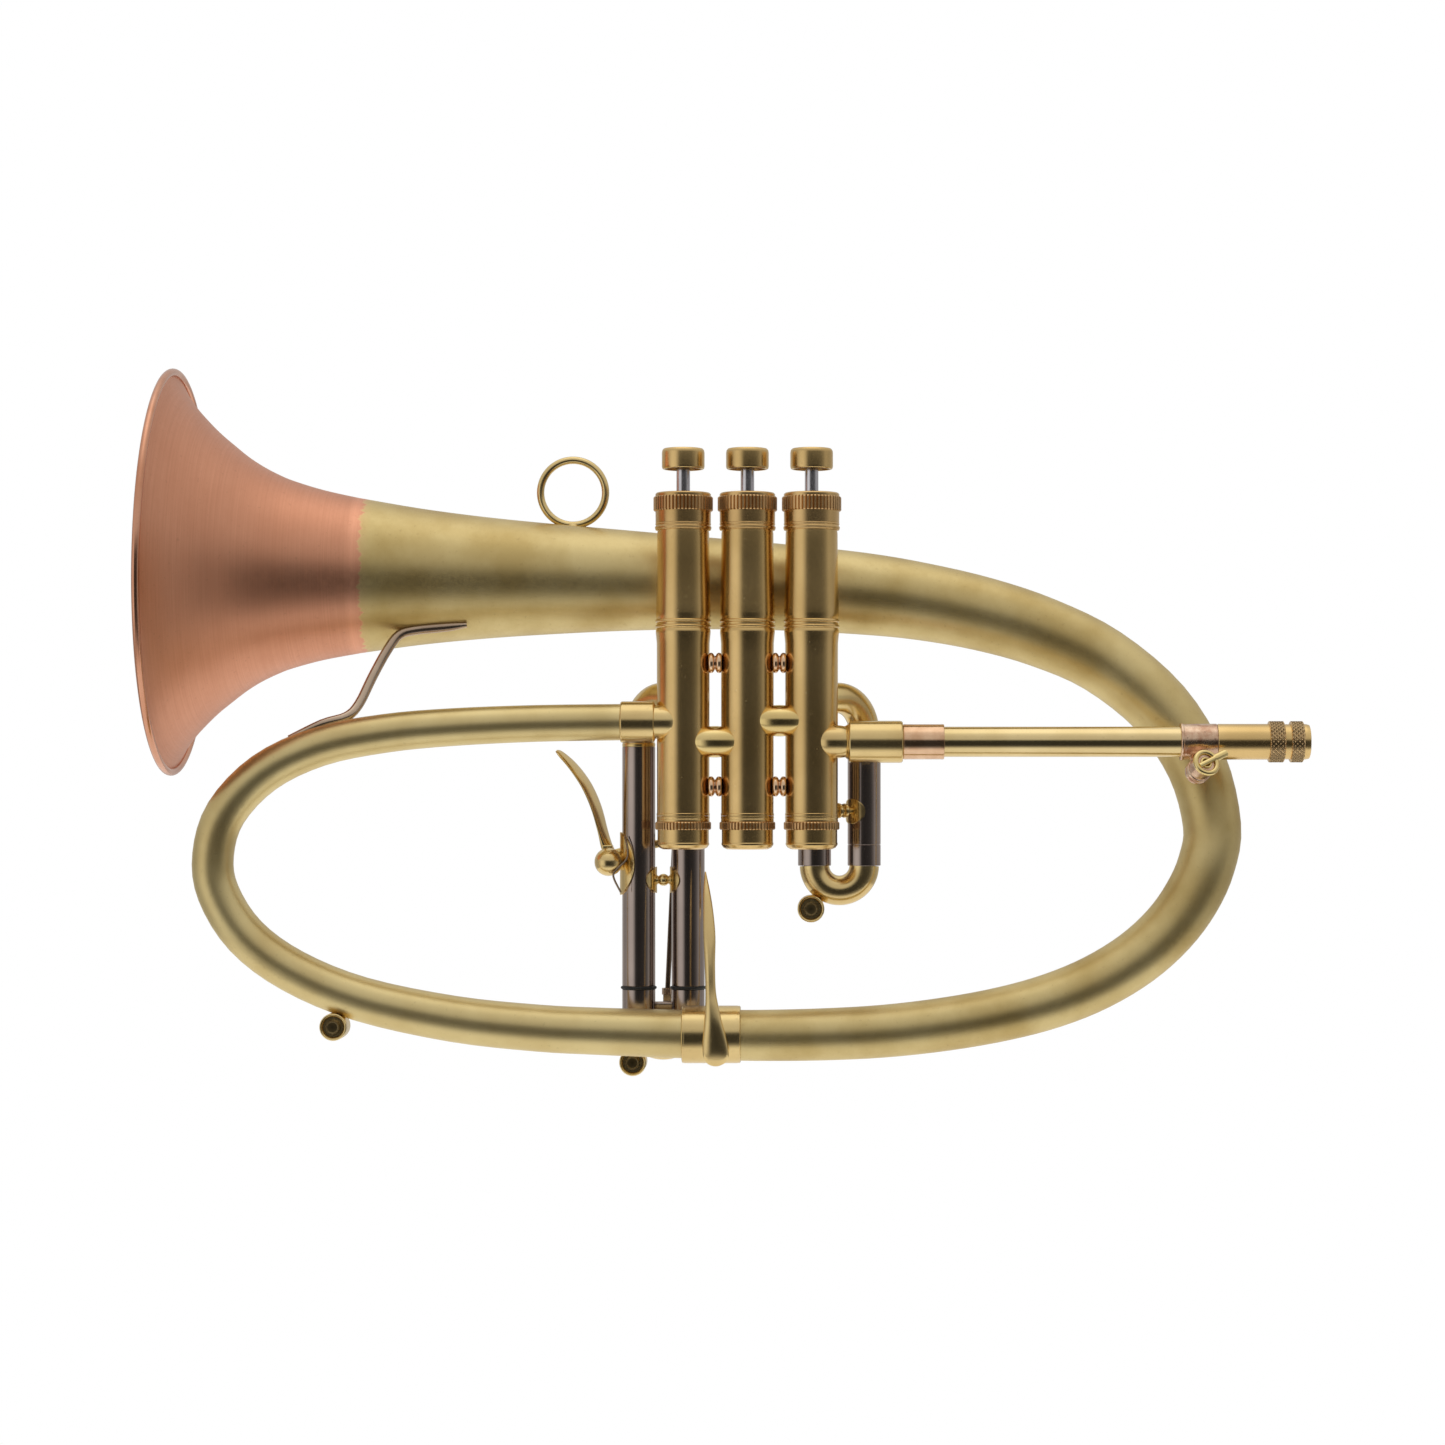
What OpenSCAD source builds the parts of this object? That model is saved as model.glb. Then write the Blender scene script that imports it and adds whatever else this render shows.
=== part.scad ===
// Flugelhorn in B flat with three piston valves, an oval wrap, a trigger on the third slide and a sliding leadpipe.
// Origin: on the middle valve's axis, at the height of the leadpipe's axis.
// +X runs towards the mouthpiece, +Z towards the finger buttons and +Y towards the bell's side of the valves.

/* [Valves] */
// Distance between the axes of neighbouring valves
valve_pitch = 24.5; // [24:0.5:26]
// Outside diameter of the lower valve casing
casing_d = 20.4; // [20:0.1:21]
// Diameter of the bore that a piston runs in
casing_bore = 17.8; // [17.4:0.1:18]
// Radial clearance of a running fit
running_gap = 0.05; // [0.02:0.01:0.1]
// Full travel of a finger button
stroke = 12.8; // [10:0.1:12.8]
// Height of the joint line between a casing and its bottom cap
casing_bottom_z = -28.2; // [-30:0.1:-26]
// Height of the top rim of a top cap
cap_top_z = 95; // [94:0.5:96]
// Height of the underside of a finger button at rest
button_z = 104; // [104:0.5:106]
// Diameter of a finger button
button_d = 16.3; // [15:0.1:16.6]

/* [Tubes] */
// Bore of the valve ports, crossovers and slides
port_bore = 10.2; // [9.8:0.1:10.4]
// Outside diameter of the crossovers between the valves
crossover_d = 11.8; // [11.6:0.1:12]
// How far the leadpipe and crossovers stand in front of the valve axes
front_y = -3.2; // [-3.6:0.1:-2.8]
// Outside diameter of the leadpipe
leadpipe_d = 11.5; // [11:0.1:11.6]
// Outside diameter of the outer slide tubes
slide_d = 12.8; // [12.6:0.1:13]
// Depth of the first and third slides behind the valve axes
slide_y = 18; // [17.8:0.1:18.4]
// Wall of the bell and of the wide tubes
sheet_wall = 0.8; // [0.6:0.1:1]

/* [Bell] */
// Depth of the bell's axis behind the valve axes
bell_y = 31; // [30:0.5:32]
// Diameter of the bell at the middle of its rim wire
rim_d = 155.6; // [155:0.1:156]
// Diameter of the wire rolled into the rim
rim_wire_d = 3; // [2.6:0.1:3.2]
// Downward tilt of the bell's axis towards the valves
bell_tilt = 0.95; // [0.9:0.01:1]

/* [Quality] */
// Sides of the wide swept tubes
tube_sides = 24; // [16:4:28]
// Rings between two points of a swept route
route_steps = 2; // [2:1:3]

/* [Hidden] */
$fn = 64;

casing_r = casing_d / 2;
piston_r = casing_bore / 2 - running_gap;
port_r = port_bore / 2;
leg_r = slide_d / 2;
inner_leg_r = 5.8;
sleeve_bore_r = inner_leg_r + running_gap;
bow_r = 5.75;
casing_neck_z = 80.5;
casing_top_z = 84;
waist_z = 44.6;
cap_floor_z = 89.5;
cap_ceiling_z = 86.2;
felt_t = 1.5;
barrel_top_z = 83.8;
piston_bottom_z = casing_bottom_z + stroke + 0.4;
piston_top_z = 46;
guide_z = 50;
guide_t = 2.4;
stem_r = 2.6;

// Valve 1 is the one nearest the mouthpiece.
valve_x = [valve_pitch, 0, -valve_pitch];

// Ports of each valve: [direction, height], in the order inlet, outlet, slide port, slide port.
// A direction is the angle about the valve's axis from +X.
first_leg_x = [44.9, 25.7];
third_leg_x = [-42.3, -23.2];
low_port_z = 17;
high_port_z = 25.5;
second_port_z = [10, 26];
function leg_angle(leg_x, vx) = atan2(slide_y, leg_x - vx);
slide_ports = [
    [[leg_angle(first_leg_x[0], valve_x[0]), low_port_z], [leg_angle(first_leg_x[1], valve_x[0]), high_port_z]],
    [[90, second_port_z[0]], [90, second_port_z[1]]],
    [[leg_angle(third_leg_x[0], valve_x[2]), low_port_z], [leg_angle(third_leg_x[1], valve_x[2]), high_port_z]]
];

// Slides
first_end_z = -39.4;
first_bow_z = -47.6;
third_end_z = -94;
third_bow_z = -107.4;
elbow_foot_z = -1.7;
first_elbow_foot_z = -5.7;
second_sleeve_y = 26;
second_bow_y = 34;
bumper_t = 1.4;

// Third-slide trigger
pivot = [-53.5, slide_y, -46];
pivot_r = 1.5;
ball_r = 5;
trigger_back_y = 27;
rod_top = [-29, trigger_back_y, -38];
rod_foot = [-31.6, trigger_back_y, -97];

// Leadpipe
ferrule_x = [59.3, 74.9];
clamp_x = [165.5, 178.7];
receiver_x = [178.8, 214];
shank_bore_r = 5;
leadpipe_x = [42, 190];

// Thumb-screw of the leadpipe clamp: the middle of its ring and the way its axis points
screw_at = [173, -18, -8.1];
screw_tilt = [-24.2, 0, 19.2];

// Bell: [distance from the outer face of the rim, outside diameter]
flare_table = [
    [1.5, 153], [4, 143.6], [8, 132.2], [12, 123], [18, 111], [24, 101], [30, 91.6], [36, 84], [42, 78],
    [48, 73.2], [60, 66.3], [74, 60.6]
];
rim_x = -226;
rim_z = 66.5;

// Wide tubes: [x, y, z, outside diameter] from the seam of the bell, round the mouthpiece end, to the bottom ferrule
bell_route = [
    [-152, 31, 65.3, 60.6], [-128, 31, 64.9, 53.2], [-104, 31, 64.5, 47.7], [-80, 31, 64.1, 43.6],
    [-50, 31, 63.5, 39.5], [-20, 31, 62.5, 36.2], [12, 31, 60.9, 33.8], [44, 31, 58.4, 32],
    [68, 31, 55.2, 30.2], [92, 30, 50.2, 28.8], [115, 29, 43, 27.5], [138, 27, 32, 26.2],
    [160, 24, 13.5, 25], [174, 21, -9, 23.4], [179.5, 18, -32, 22.4], [177, 15, -47, 22.2],
    [171, 13.5, -60, 22.1], [162, 12, -72, 21.8], [149.5, 10, -83, 21.6], [134, 8, -92.2, 21.4],
    [117, 6, -99, 21.1], [98, 4, -104, 20.7], [76, 2, -107.8, 20.4], [52, 0, -110.4, 20.1],
    [28, -2, -111.5, 19.8], [4, -3, -111.8, 19.4], [-10, -3, -111.6, 19.2]
];
// The same from the bottom ferrule, round the bell end, to the third valve
left_route = [
    [-16, -3, -111.4, 18.6], [-35, -3, -111, 18.3], [-57, -3, -110.2, 18], [-80, -3, -109, 17.9],
    [-112, -3, -105.5, 17.6], [-147, -3, -98, 17], [-173, -3, -87.3, 16.6], [-191, -3, -74, 16.3],
    [-201.4, -3, -57.6, 16], [-203.4, -3, -43, 15.7], [-198.5, -3, -27, 15.6], [-184, -3, -11.8, 15.5],
    [-163, -3, -1.8, 15.2], [-138, -3, 3.2, 14.8], [-112, -3, 5.6, 14.4], [-80, -3, 7, 14], [-46, -3, 7.5, 13.8]
];
// Bars: [x, y, z, size across, size deep]
s_brace_route = [
    [-108.5, 14.8, 45.4, 2, 1.6], [-116, 14.6, 44.6, 3.6, 2.4], [-128, 14, 43.4, 3.8, 2.6],
    [-134.5, 13, 41.4, 3.8, 3], [-139, 10.5, 35, 3.8, 3.2], [-144, 7, 25, 3.8, 3.2], [-148.6, 3, 14.6, 3.8, 3.2],
    [-153, -0.5, 9.6, 3.8, 3], [-162, -2.6, 6.8, 3.6, 3.2], [-174.5, -3, 1.4, 2.2, 2.4]
];
hook_route = [
    [-11.6, -10, -121, 7.6, 2], [-11.8, -13, -117.6, 9.4, 3], [-12, -14.4, -113, 9.2, 3], [-12.4, -14.8, -107, 8, 3.2],
    [-13, -14.4, -101, 5.6, 3.4], [-13.6, -13.6, -94, 4.2, 3.6], [-13.8, -12.4, -84, 4, 3.6],
    [-13.6, -10.8, -74, 5, 3], [-14, -8, -64, 4.8, 2.4], [-14.9, -4.4, -56, 3.6, 2], [-16, 0, -49, 1.6, 1.4]
];
blade_route = [
    [-54.6, 18, -41, 4.4, 9], [-56, 18, -34, 2.4, 10], [-58.6, 18, -25, 1.8, 10], [-62.6, 18, -16.5, 1.8, 9.6],
    [-67.6, 18, -9.4, 1.8, 9.4], [-74, 18, -3.2, 1.6, 7]
];
wire_spring_route = [
    [-47.4, 12.2, -36.2, 0.8, 0.8], [-46.2, 9.2, -41, 0.8, 0.8], [-46.6, 7.4, -45, 0.8, 0.8],
    [-50.4, 5.2, -49, 0.8, 0.8], [-51.4, 5.6, -51.8, 0.8, 0.8], [-48.8, 8.5, -57.6, 0.8, 0.8]
];

// Water keys: the middle of each barrel, and the tube's middle that it drains
key_r = 5.2;
key_len = 12;
key_travel = 1.5;
plunger_r = 2.6;
bow_key = [-157, -3, -108.3];
first_key = [24.3, slide_y, -64.2];
third_key = [-44.4, slide_y, -123.4];

brass = [0.76, 0.64, 0.38];
polished_brass = [0.85, 0.68, 0.34];
copper = [0.72, 0.45, 0.33];
rose = [0.78, 0.54, 0.42];
black_nickel = [0.27, 0.25, 0.25];
nickel_silver = [0.66, 0.58, 0.5];
steel = [0.7, 0.7, 0.72];
felt = [0.2, 0.2, 0.22];
rubber = [0.08, 0.08, 0.08];

// ---- Curves ----

function unit(v) = v / norm(v);
function point(q) = [q[0], q[1], q[2]];
function spline(a, b, c, d, t) =
    0.5 * (2 * b + (c - a) * t + (2 * a - 5 * b + 4 * c - d) * t * t + (3 * b - a - 3 * c + d) * t * t * t);
// A smooth route through the points p, with n steps between neighbours
function smoothed(p, n) = [
    for (i = [0 : len(p) - 2], k = [0 : n - 1])
        spline(p[max(i - 1, 0)], p[i], p[i + 1], p[min(i + 2, len(p) - 1)], k / n),
    p[len(p) - 1]
];
function heading(route, i) = unit(point(route[min(i + 1, len(route) - 1)]) - point(route[max(i - 1, 0)]));
// An elliptical ring of n points about point i of a route, across in the X-Z plane and deep along Y
function ring(route, i, n, across, deep) =
    let (t = heading(route, i), a = unit(cross([0, 1, 0], t)), b = cross(t, a))
    [for (k = [0 : n - 1])
        point(route[i]) + across / 2 * cos(360 * k / n) * a + deep / 2 * sin(360 * k / n) * b];
function side_faces(m, n, start) = [
    for (i = [0 : m - 2], k = [0 : n - 1])
        let (a = start + i * n + k, b = start + i * n + (k + 1) % n)
        each [[a, a + n, b + n], [a, b + n, b]]
];
function flipped(faces) = [for (f = faces) [f[0], f[2], f[1]]];

// A hollow round tube along a route of [x, y, z, outside diameter]
module swept_tube(route, wall, n) {
    m = len(route);
    outer = [for (i = [0 : m - 1]) each ring(route, i, n, route[i][3], route[i][3])];
    inner = [for (i = [0 : m - 1]) each ring(route, i, n, route[i][3] - 2 * wall, route[i][3] - 2 * wall)];
    last = (m - 1) * n;
    polyhedron(
        points = concat(outer, inner),
        faces = concat(
            side_faces(m, n, 0),
            flipped(side_faces(m, n, m * n)),
            [for (k = [0 : n - 1]) let (j = (k + 1) % n) each [[k, j, m * n + j], [k, m * n + j, m * n + k]]],
            [for (k = [0 : n - 1]) let (j = (k + 1) % n)
                each [[last + k, m * n + last + j, last + j], [last + k, m * n + last + k, m * n + last + j]]]
        )
    );
}

// A solid bar along a route of [x, y, z, size across, size deep]
module swept_bar(route, n) {
    m = len(route);
    polyhedron(
        points = [for (i = [0 : m - 1]) each ring(route, i, n, route[i][3], route[i][4])],
        faces = concat(
            side_faces(m, n, 0),
            [for (k = [1 : n - 2]) [0, k, k + 1]],
            [for (k = [1 : n - 2]) [(m - 1) * n, (m - 1) * n + k + 1, (m - 1) * n + k]]
        )
    );
}

// ---- Round work ----

// A cylinder from a to b
module rod_between(a, b, r) {
    v = b - a;
    translate(a)
        rotate([0, acos(v[2] / norm(v)), atan2(v[1], v[0])])
            cylinder(h = norm(v), r = r);
}

// A straight pipe along +Z
module pipe(h, r_out, r_in) {
    difference() {
        cylinder(h = h, r = r_out);
        translate([0, 0, -1])
            cylinder(h = h + 2, r = r_in);
    }
}

// A straight pipe along +X at the leadpipe's depth
module pipe_x(x0, x1, r_out, r_in, z = 0) {
    translate([x0, front_y, z])
        rotate([0, 90, 0])
            pipe(x1 - x0, r_out, r_in);
}

// A quarter bend: it starts upwards at the origin and ends along +X
module quarter_bend(radius, r_out, r_in) {
    translate([radius, 0, 0])
        rotate([90, 0, 0])
            rotate([0, 0, 90])
                rotate_extrude(angle = 90)
                    translate([radius, 0])
                        difference() {
                            circle(r = r_out);
                            circle(r = r_in);
                        }
}

// A half bend hanging below the origin, between legs at x = 0 and x = 2 * radius
module half_bend(radius, r_out, r_in) {
    translate([radius, 0, 0])
        rotate([90, 0, 0])
            rotate([0, 0, 180])
                rotate_extrude(angle = 180)
                    translate([radius, 0])
                        difference() {
                            circle(r = r_out);
                            circle(r = r_in);
                        }
}

// The outside of all three lower casings, for trimming what is soldered to them
module casing_blanks(r = casing_r) {
    for (x = valve_x)
        translate([x, 0, casing_bottom_z])
            cylinder(h = 70, r = r);
}

// ---- Valves ----

// A radial port of a valve at an angle, height and sideways offset, from the axis out
module port(angle, z, y, r) {
    translate([0, y, z])
        rotate([0, 0, angle])
            rotate([0, 90, 0])
                cylinder(h = 20, r = r);
}

module casing_ports(v) {
    port(0, [0, 8, 0][v], front_y, port_r);
    port(180, [8, 0, 7.5][v], front_y, port_r);
    for (p = slide_ports[v])
        port(p[0], p[1], 0, port_r);
}

module valve_casing(v) {
    color(brass)
        translate([valve_x[v], 0, 0])
            difference() {
                rotate_extrude()
                    polygon([
                        [casing_bore / 2, casing_bottom_z], [casing_r, casing_bottom_z], [casing_r, waist_z - 2.2],
                        [casing_r + 0.35, waist_z - 2], [casing_r + 0.35, waist_z - 0.5], [casing_r, waist_z],
                        [casing_r + 0.35, waist_z + 0.5], [casing_r + 0.35, waist_z + 2], [casing_r + 0.1, waist_z + 2.2],
                        [casing_r, 54], [casing_r - 0.3, 66], [casing_r - 0.45, casing_neck_z],
                        [casing_r - 0.7, casing_neck_z], [casing_r - 0.7, casing_top_z], [casing_bore / 2, casing_top_z]
                    ]);
                casing_ports(v);
            }
}

module valve_casing_1() { valve_casing(0); }
module valve_casing_2() { valve_casing(1); }
module valve_casing_3() { valve_casing(2); }

// Screwed caps with a dished top that the finger button sinks into
module top_caps() {
    color(polished_brass)
        for (x = valve_x)
            translate([x, 0, 0])
                rotate_extrude()
                    polygon([
                        [casing_r - 0.65, casing_neck_z + 0.1], [10.6, casing_neck_z + 0.1], [10.6, 82], [10.3, 82.3],
                        [10.6, 82.6], [10.6, 87.6], [11.4, 87.9], [11.4, 92.8], [10.9, 93.4], [10.4, cap_top_z],
                        [9, cap_top_z], [8.6, cap_floor_z], [3, cap_floor_z], [3, cap_ceiling_z],
                        [casing_r - 0.65, cap_ceiling_z]
                    ]);
}

module bottom_caps() {
    color(polished_brass)
        for (x = valve_x)
            translate([x, 0, 0])
                rotate_extrude()
                    polygon([
                        [8.4, casing_bottom_z - 0.05], [casing_r, casing_bottom_z - 0.05], [casing_r, -30.6], [10.5, -30.8],
                        [10.5, -33.4], [9.9, -33.6], [9.7, -39.3], [7.75, -41], [1.5, -41], [1.5, -39.6], [8.4, -39.6]
                    ]);
}

// Felt rings: one on the floor of each cap's dish and one under its ceiling
module cap_felts() {
    color(felt)
        for (x = valve_x)
            translate([x, 0, 0]) {
                translate([0, 0, cap_floor_z])
                    pipe(felt_t, 8.4, 3.4);
                translate([0, 0, barrel_top_z + 0.05])
                    pipe(cap_ceiling_z - barrel_top_z - 0.05, 7.4, 3.4);
            }
}

// Guides that stop a piston turning: a disc with two ears that reach the casing
module valve_guides() {
    color([0.9, 0.88, 0.8])
        for (x = valve_x)
            translate([x, 0, guide_z])
                difference() {
                    union() {
                        cylinder(h = guide_t, r = 6.9);
                        translate([-casing_bore / 2 + 0.2, -1.2, 0])
                            cube([casing_bore - 0.4, 2.4, guide_t]);
                    }
                    translate([0, 0, -1])
                        cylinder(h = guide_t + 2, r = 2.5);
                }
}

// Coil springs between each guide and the top of its spring barrel
module valve_spring(v) {
    turns = 6;
    steps = 12;
    low = guide_z + guide_t + 0.85;
    high = barrel_top_z - 2.5 - 0.85;
    coil = [for (i = [0 : turns * steps])
        let (a = 360 * i / steps, h = low + (high - low) * i / (turns * steps))
        [valve_x[v] + 5.6 * cos(a), 5.6 * sin(a), h]];
    color(steel)
        spring_wire(coil, 0.7, 5);
}

// A round wire of radius r along a rising coil
module spring_wire(coil, r, n) {
    m = len(coil);
    function coil_ring(i) =
        let (t = heading(coil, i), a = unit(cross([0, 0, 1], t)), b = cross(t, a))
        [for (k = [0 : n - 1]) coil[i] + r * (cos(360 * k / n) * a + sin(360 * k / n) * b)];
    polyhedron(
        points = [for (i = [0 : m - 1]) each coil_ring(i)],
        faces = concat(
            side_faces(m, n, 0),
            [for (k = [1 : n - 2]) [0, k, k + 1]],
            [for (k = [1 : n - 2]) [(m - 1) * n, (m - 1) * n + k + 1, (m - 1) * n + k]]
        )
    );
}

module valve_spring_1() { valve_spring(0); }
module valve_spring_2() { valve_spring(1); }
module valve_spring_3() { valve_spring(2); }

// The air passages of a piston: straight through at rest, and up through the slide when it is pressed
module piston_passages(v, r) {
    z_in = [0, 8, 0][v];
    z_out = [8, 0, 7.5][v];
    a = slide_ports[v][0];
    b = slide_ports[v][1];
    side_a = a[0] > 90 ? -1 : 1;
    rod_between([10, front_y, z_in], [-10, front_y, z_out], r);
    rod_between([side_a * 10, front_y, (side_a > 0 ? z_in : z_out) + stroke], [0, 0, a[1] + stroke - 3], r - 0.6);
    rod_between([0, 0, a[1] + stroke], [10 * cos(a[0]), 10 * sin(a[0]), a[1] + stroke], r);
    rod_between([0, 0, b[1] + stroke], [10 * cos(b[0]), 10 * sin(b[0]), b[1] + stroke], r - 0.4);
}

module piston(v) {
    barrel_r = 8.3;
    color(nickel_silver)
        translate([valve_x[v], 0, 0])
            difference() {
                union() {
                    difference() {
                        translate([0, 0, piston_bottom_z])
                            cylinder(h = piston_top_z - piston_bottom_z, r = piston_r);
                        translate([0, 0, piston_bottom_z - 1])
                            cylinder(h = piston_top_z - piston_bottom_z - 1, r = piston_r - 1.2);
                    }
                    intersection() {
                        translate([0, 0, piston_bottom_z])
                            cylinder(h = piston_top_z - piston_bottom_z - 1, r = piston_r - 0.6);
                        piston_passages(v, port_r + 0.7);
                    }
                    translate([0, 0, piston_top_z - 1])
                        cylinder(h = barrel_top_z - piston_top_z + 1, r = barrel_r);
                }
                piston_passages(v, port_r - 0.1);
                translate([0, 0, piston_top_z])
                    cylinder(h = barrel_top_z - piston_top_z - 2.5, r = 7.1);
                // slots that let the spring barrel pass the ears of its guide
                translate([-10, -1.4, guide_z - 0.4])
                    cube([20, 2.8, guide_t + stroke + 0.8]);
                cylinder(h = 100, r = 1.2);
            }
}

module piston_1() { piston(0); }
module piston_2() { piston(1); }
module piston_3() { piston(2); }

module valve_stem(v) {
    color(steel)
        translate([valve_x[v], 0, barrel_top_z])
            cylinder(h = button_z + 4.5 - barrel_top_z, r = stem_r);
}

module valve_stem_1() { valve_stem(0); }
module valve_stem_2() { valve_stem(1); }
module valve_stem_3() { valve_stem(2); }

// A finger button, hollow underneath round the boss that takes the stem
module finger_button(v) {
    r = button_d / 2;
    color(polished_brass)
        translate([valve_x[v], 0, button_z])
            rotate_extrude()
                polygon([
                    [stem_r, 1], [3.8, 1], [3.8, 5.2], [r - 1.4, 5.2], [r - 1.2, 0], [r - 0.2, 0], [r, 0.4], [r, 6.4],
                    [r - 0.4, 7.4], [r - 1.4, 8], [0, 7.6], [0, 4.5], [stem_r, 4.5]
                ]);
}

module finger_button_1() { finger_button(0); }
module finger_button_2() { finger_button(1); }
module finger_button_3() { finger_button(2); }

// Short tubes that carry the air from one valve to the next
module crossovers() {
    color(polished_brass)
        difference() {
            for (v = [0, 1])
                pipe_x(valve_x[v + 1], valve_x[v], crossover_d / 2, port_r, [8, 0][v]);
            casing_blanks();
        }
}

// Turned double-disc spools between the casings
module casing_braces() {
    color(rose)
        difference() {
            for (x = [-valve_pitch / 2, valve_pitch / 2], z = [-17, 30])
                translate([x - 5, -4, z])
                    rotate([0, 90, 0]) {
                        cylinder(h = 10, r = 1.5);
                        translate([0, 0, 2.6])
                            cylinder(h = 1.9, r = 3.8);
                        translate([0, 0, 5.5])
                            cylinder(h = 1.9, r = 3.8);
                    }
            casing_blanks();
        }
}

// ---- Leadpipe ----

// Socket soldered to the first valve, which the leadpipe slides in
module leadpipe_socket() {
    color(polished_brass)
        difference() {
            translate([valve_x[0], front_y, 0])
                rotate([0, 90, 0])
                    rotate_extrude()
                        polygon([
                            [port_r, 0], [crossover_d / 2, 0], [crossover_d / 2, 12.4], [7, 13.9], [8, 14.6], [8, 34.3],
                            [7.6, 34.7], [leadpipe_d / 2 + running_gap, 34.7], [leadpipe_d / 2 + running_gap, 16.5],
                            [port_r, 16.5]
                        ]);
            casing_blanks();
        }
}

module leadpipe_ferrule() {
    color(copper)
        pipe_x(ferrule_x[0], ferrule_x[1], 6.7, leadpipe_d / 2 + running_gap);
}

module leadpipe() {
    color(brass)
        pipe_x(leadpipe_x[0], leadpipe_x[1], leadpipe_d / 2, 4.6);
}

// Mouthpiece receiver with two grip rings; its bore takes a straight shank
module receiver() {
    ring_x = [198.5, 206.7];
    ring_w = [6.1, 5.2];
    color(polished_brass) {
        difference() {
            union() {
                pipe_x(receiver_x[0], receiver_x[1], 6.8, shank_bore_r);
                for (k = [0, 1])
                    pipe_x(ring_x[k], ring_x[k] + ring_w[k], 7.85, 6);
            }
            translate([receiver_x[0] - 1, front_y, 0])
                rotate([0, 90, 0])
                    cylinder(h = leadpipe_x[1] + 1 - receiver_x[0], r = leadpipe_d / 2);
        }
    }
}

// Split sleeve with a boss for the thumb-screw and a post that joins it to the bell's bow
module clamp_sleeve() {
    color(rose)
        difference() {
            union() {
                pipe_x(clamp_x[0], clamp_x[1], 6.85, leadpipe_d / 2);
                translate([171, front_y + 5, 0])
                    rotate([-90, 0, 0])
                        cylinder(h = 10.4, r = 2.2);
                translate(screw_at)
                    rotate(screw_tilt)
                        rotate([90, 0, 0])
                            translate([0, 0, -13])
                                cylinder(h = 11, r = 4.6);
                translate([168.2, -11.4, -12.6])
                    cube([7, 8.4, 7]);
            }
            translate([150, front_y, 0])
                rotate([0, 90, 0])
                    cylinder(h = 50, r = leadpipe_d / 2 + running_gap);
            translate([150, front_y - 0.5, -9])
                cube([50, 1, 9]);
            translate(screw_at)
                rotate(screw_tilt)
                    rotate([90, 0, 0])
                        translate([0, 0, -12])
                            cylinder(h = 14, r = 1.7 + running_gap);
        }
}

// Thumb-screw: a threaded shank, a ring and a bar across it
module clamp_screw() {
    color(polished_brass)
        translate(screw_at)
            rotate(screw_tilt)
                rotate([90, 0, 0]) {
                    translate([0, 0, -11])
                        cylinder(h = 11, r = 1.7);
                    translate([0, 0, -1.6])
                        cylinder(h = 1, r = 4.4);
                    rotate_extrude()
                        translate([4, 0])
                            circle(r = 0.9);
                    translate([0, 0, -0.6])
                        rotate([0, 0, 43])
                            translate([-4.2, -1, 0])
                                cube([15.6, 2, 2.4]);
                }
}

// ---- Wide tubes and bell ----

module outlet_ferrule() {
    color(polished_brass)
        difference() {
            translate([valve_x[2], front_y, 7.5])
                rotate([0, -90, 0])
                    rotate_extrude()
                        polygon([
                            [port_r, 0], [crossover_d / 2, 0], [crossover_d / 2, 9.8], [6.6, 10.8], [7.5, 10.8], [7.9, 11.2],
                            [7.9, 23.4], [7.5, 23.8], [6.95, 23.8], [6.95, 20], [port_r, 20]
                        ]);
            casing_blanks();
        }
}

module left_tube() {
    color(brass)
        swept_tube(smoothed(left_route, route_steps), sheet_wall, tube_sides - 4);
}

module bottom_ferrule() {
    color(polished_brass)
        translate([-24.9, -3, -111.4])
            rotate([0, 90, 0])
                rotate_extrude()
                    polygon([
                        [9.2, 0], [10.6, 0], [10.95, 0.4], [10.95, 22], [10.6, 22.4], [9.6, 22.4], [9.6, 13], [8.6, 13],
                        [8.6, 11], [9.2, 11]
                    ]);
}

module bell_tail() {
    color(brass)
        swept_tube(smoothed(bell_route, route_steps), sheet_wall, tube_sides);
}

// The flare, turned about the bell's axis
module bell_flare() {
    profile = smoothed(flare_table, 3);
    count = len(profile);
    color(copper)
        translate([rim_x, bell_y, rim_z])
            rotate([0, 90 + bell_tilt, 0])
                rotate_extrude()
                    polygon(concat(
                        [for (q = profile) [q[1] / 2, q[0]]],
                        [for (i = [count - 1 : -1 : 0]) [profile[i][1] / 2 - sheet_wall, profile[i][0]]]
                    ));
}

module rim_wire() {
    color(copper)
        translate([rim_x, bell_y, rim_z])
            rotate([0, 90 + bell_tilt, 0])
                translate([0, 0, rim_wire_d / 2])
                    rotate_extrude()
                        translate([rim_d / 2, 0])
                            circle(r = rim_wire_d / 2);
}

module s_brace() {
    color(nickel_silver)
        swept_bar(smoothed(s_brace_route, 2), 10);
}

module finger_ring() {
    color(polished_brass)
        translate([-68.6, bell_y, 97.8])
            rotate([90, 0, 0])
                rotate_extrude()
                    translate([12.7, 0])
                        circle(r = 1.45);
}

module hand_hook() {
    color(polished_brass)
        swept_bar(smoothed(hook_route, 3), 14);
}

// Short spools that hold the bell's tube against the outer casings
module bell_braces() {
    color(rose)
        for (x = [valve_x[0], valve_x[2]])
            translate([x, casing_r - 0.4, 60])
                rotate([-90, 0, 0]) {
                    cylinder(h = 4.6, r = 2);
                    translate([0, 0, 0.6])
                        cylinder(h = 1.4, r = 4);
                }
}

// ---- Slides ----

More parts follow.
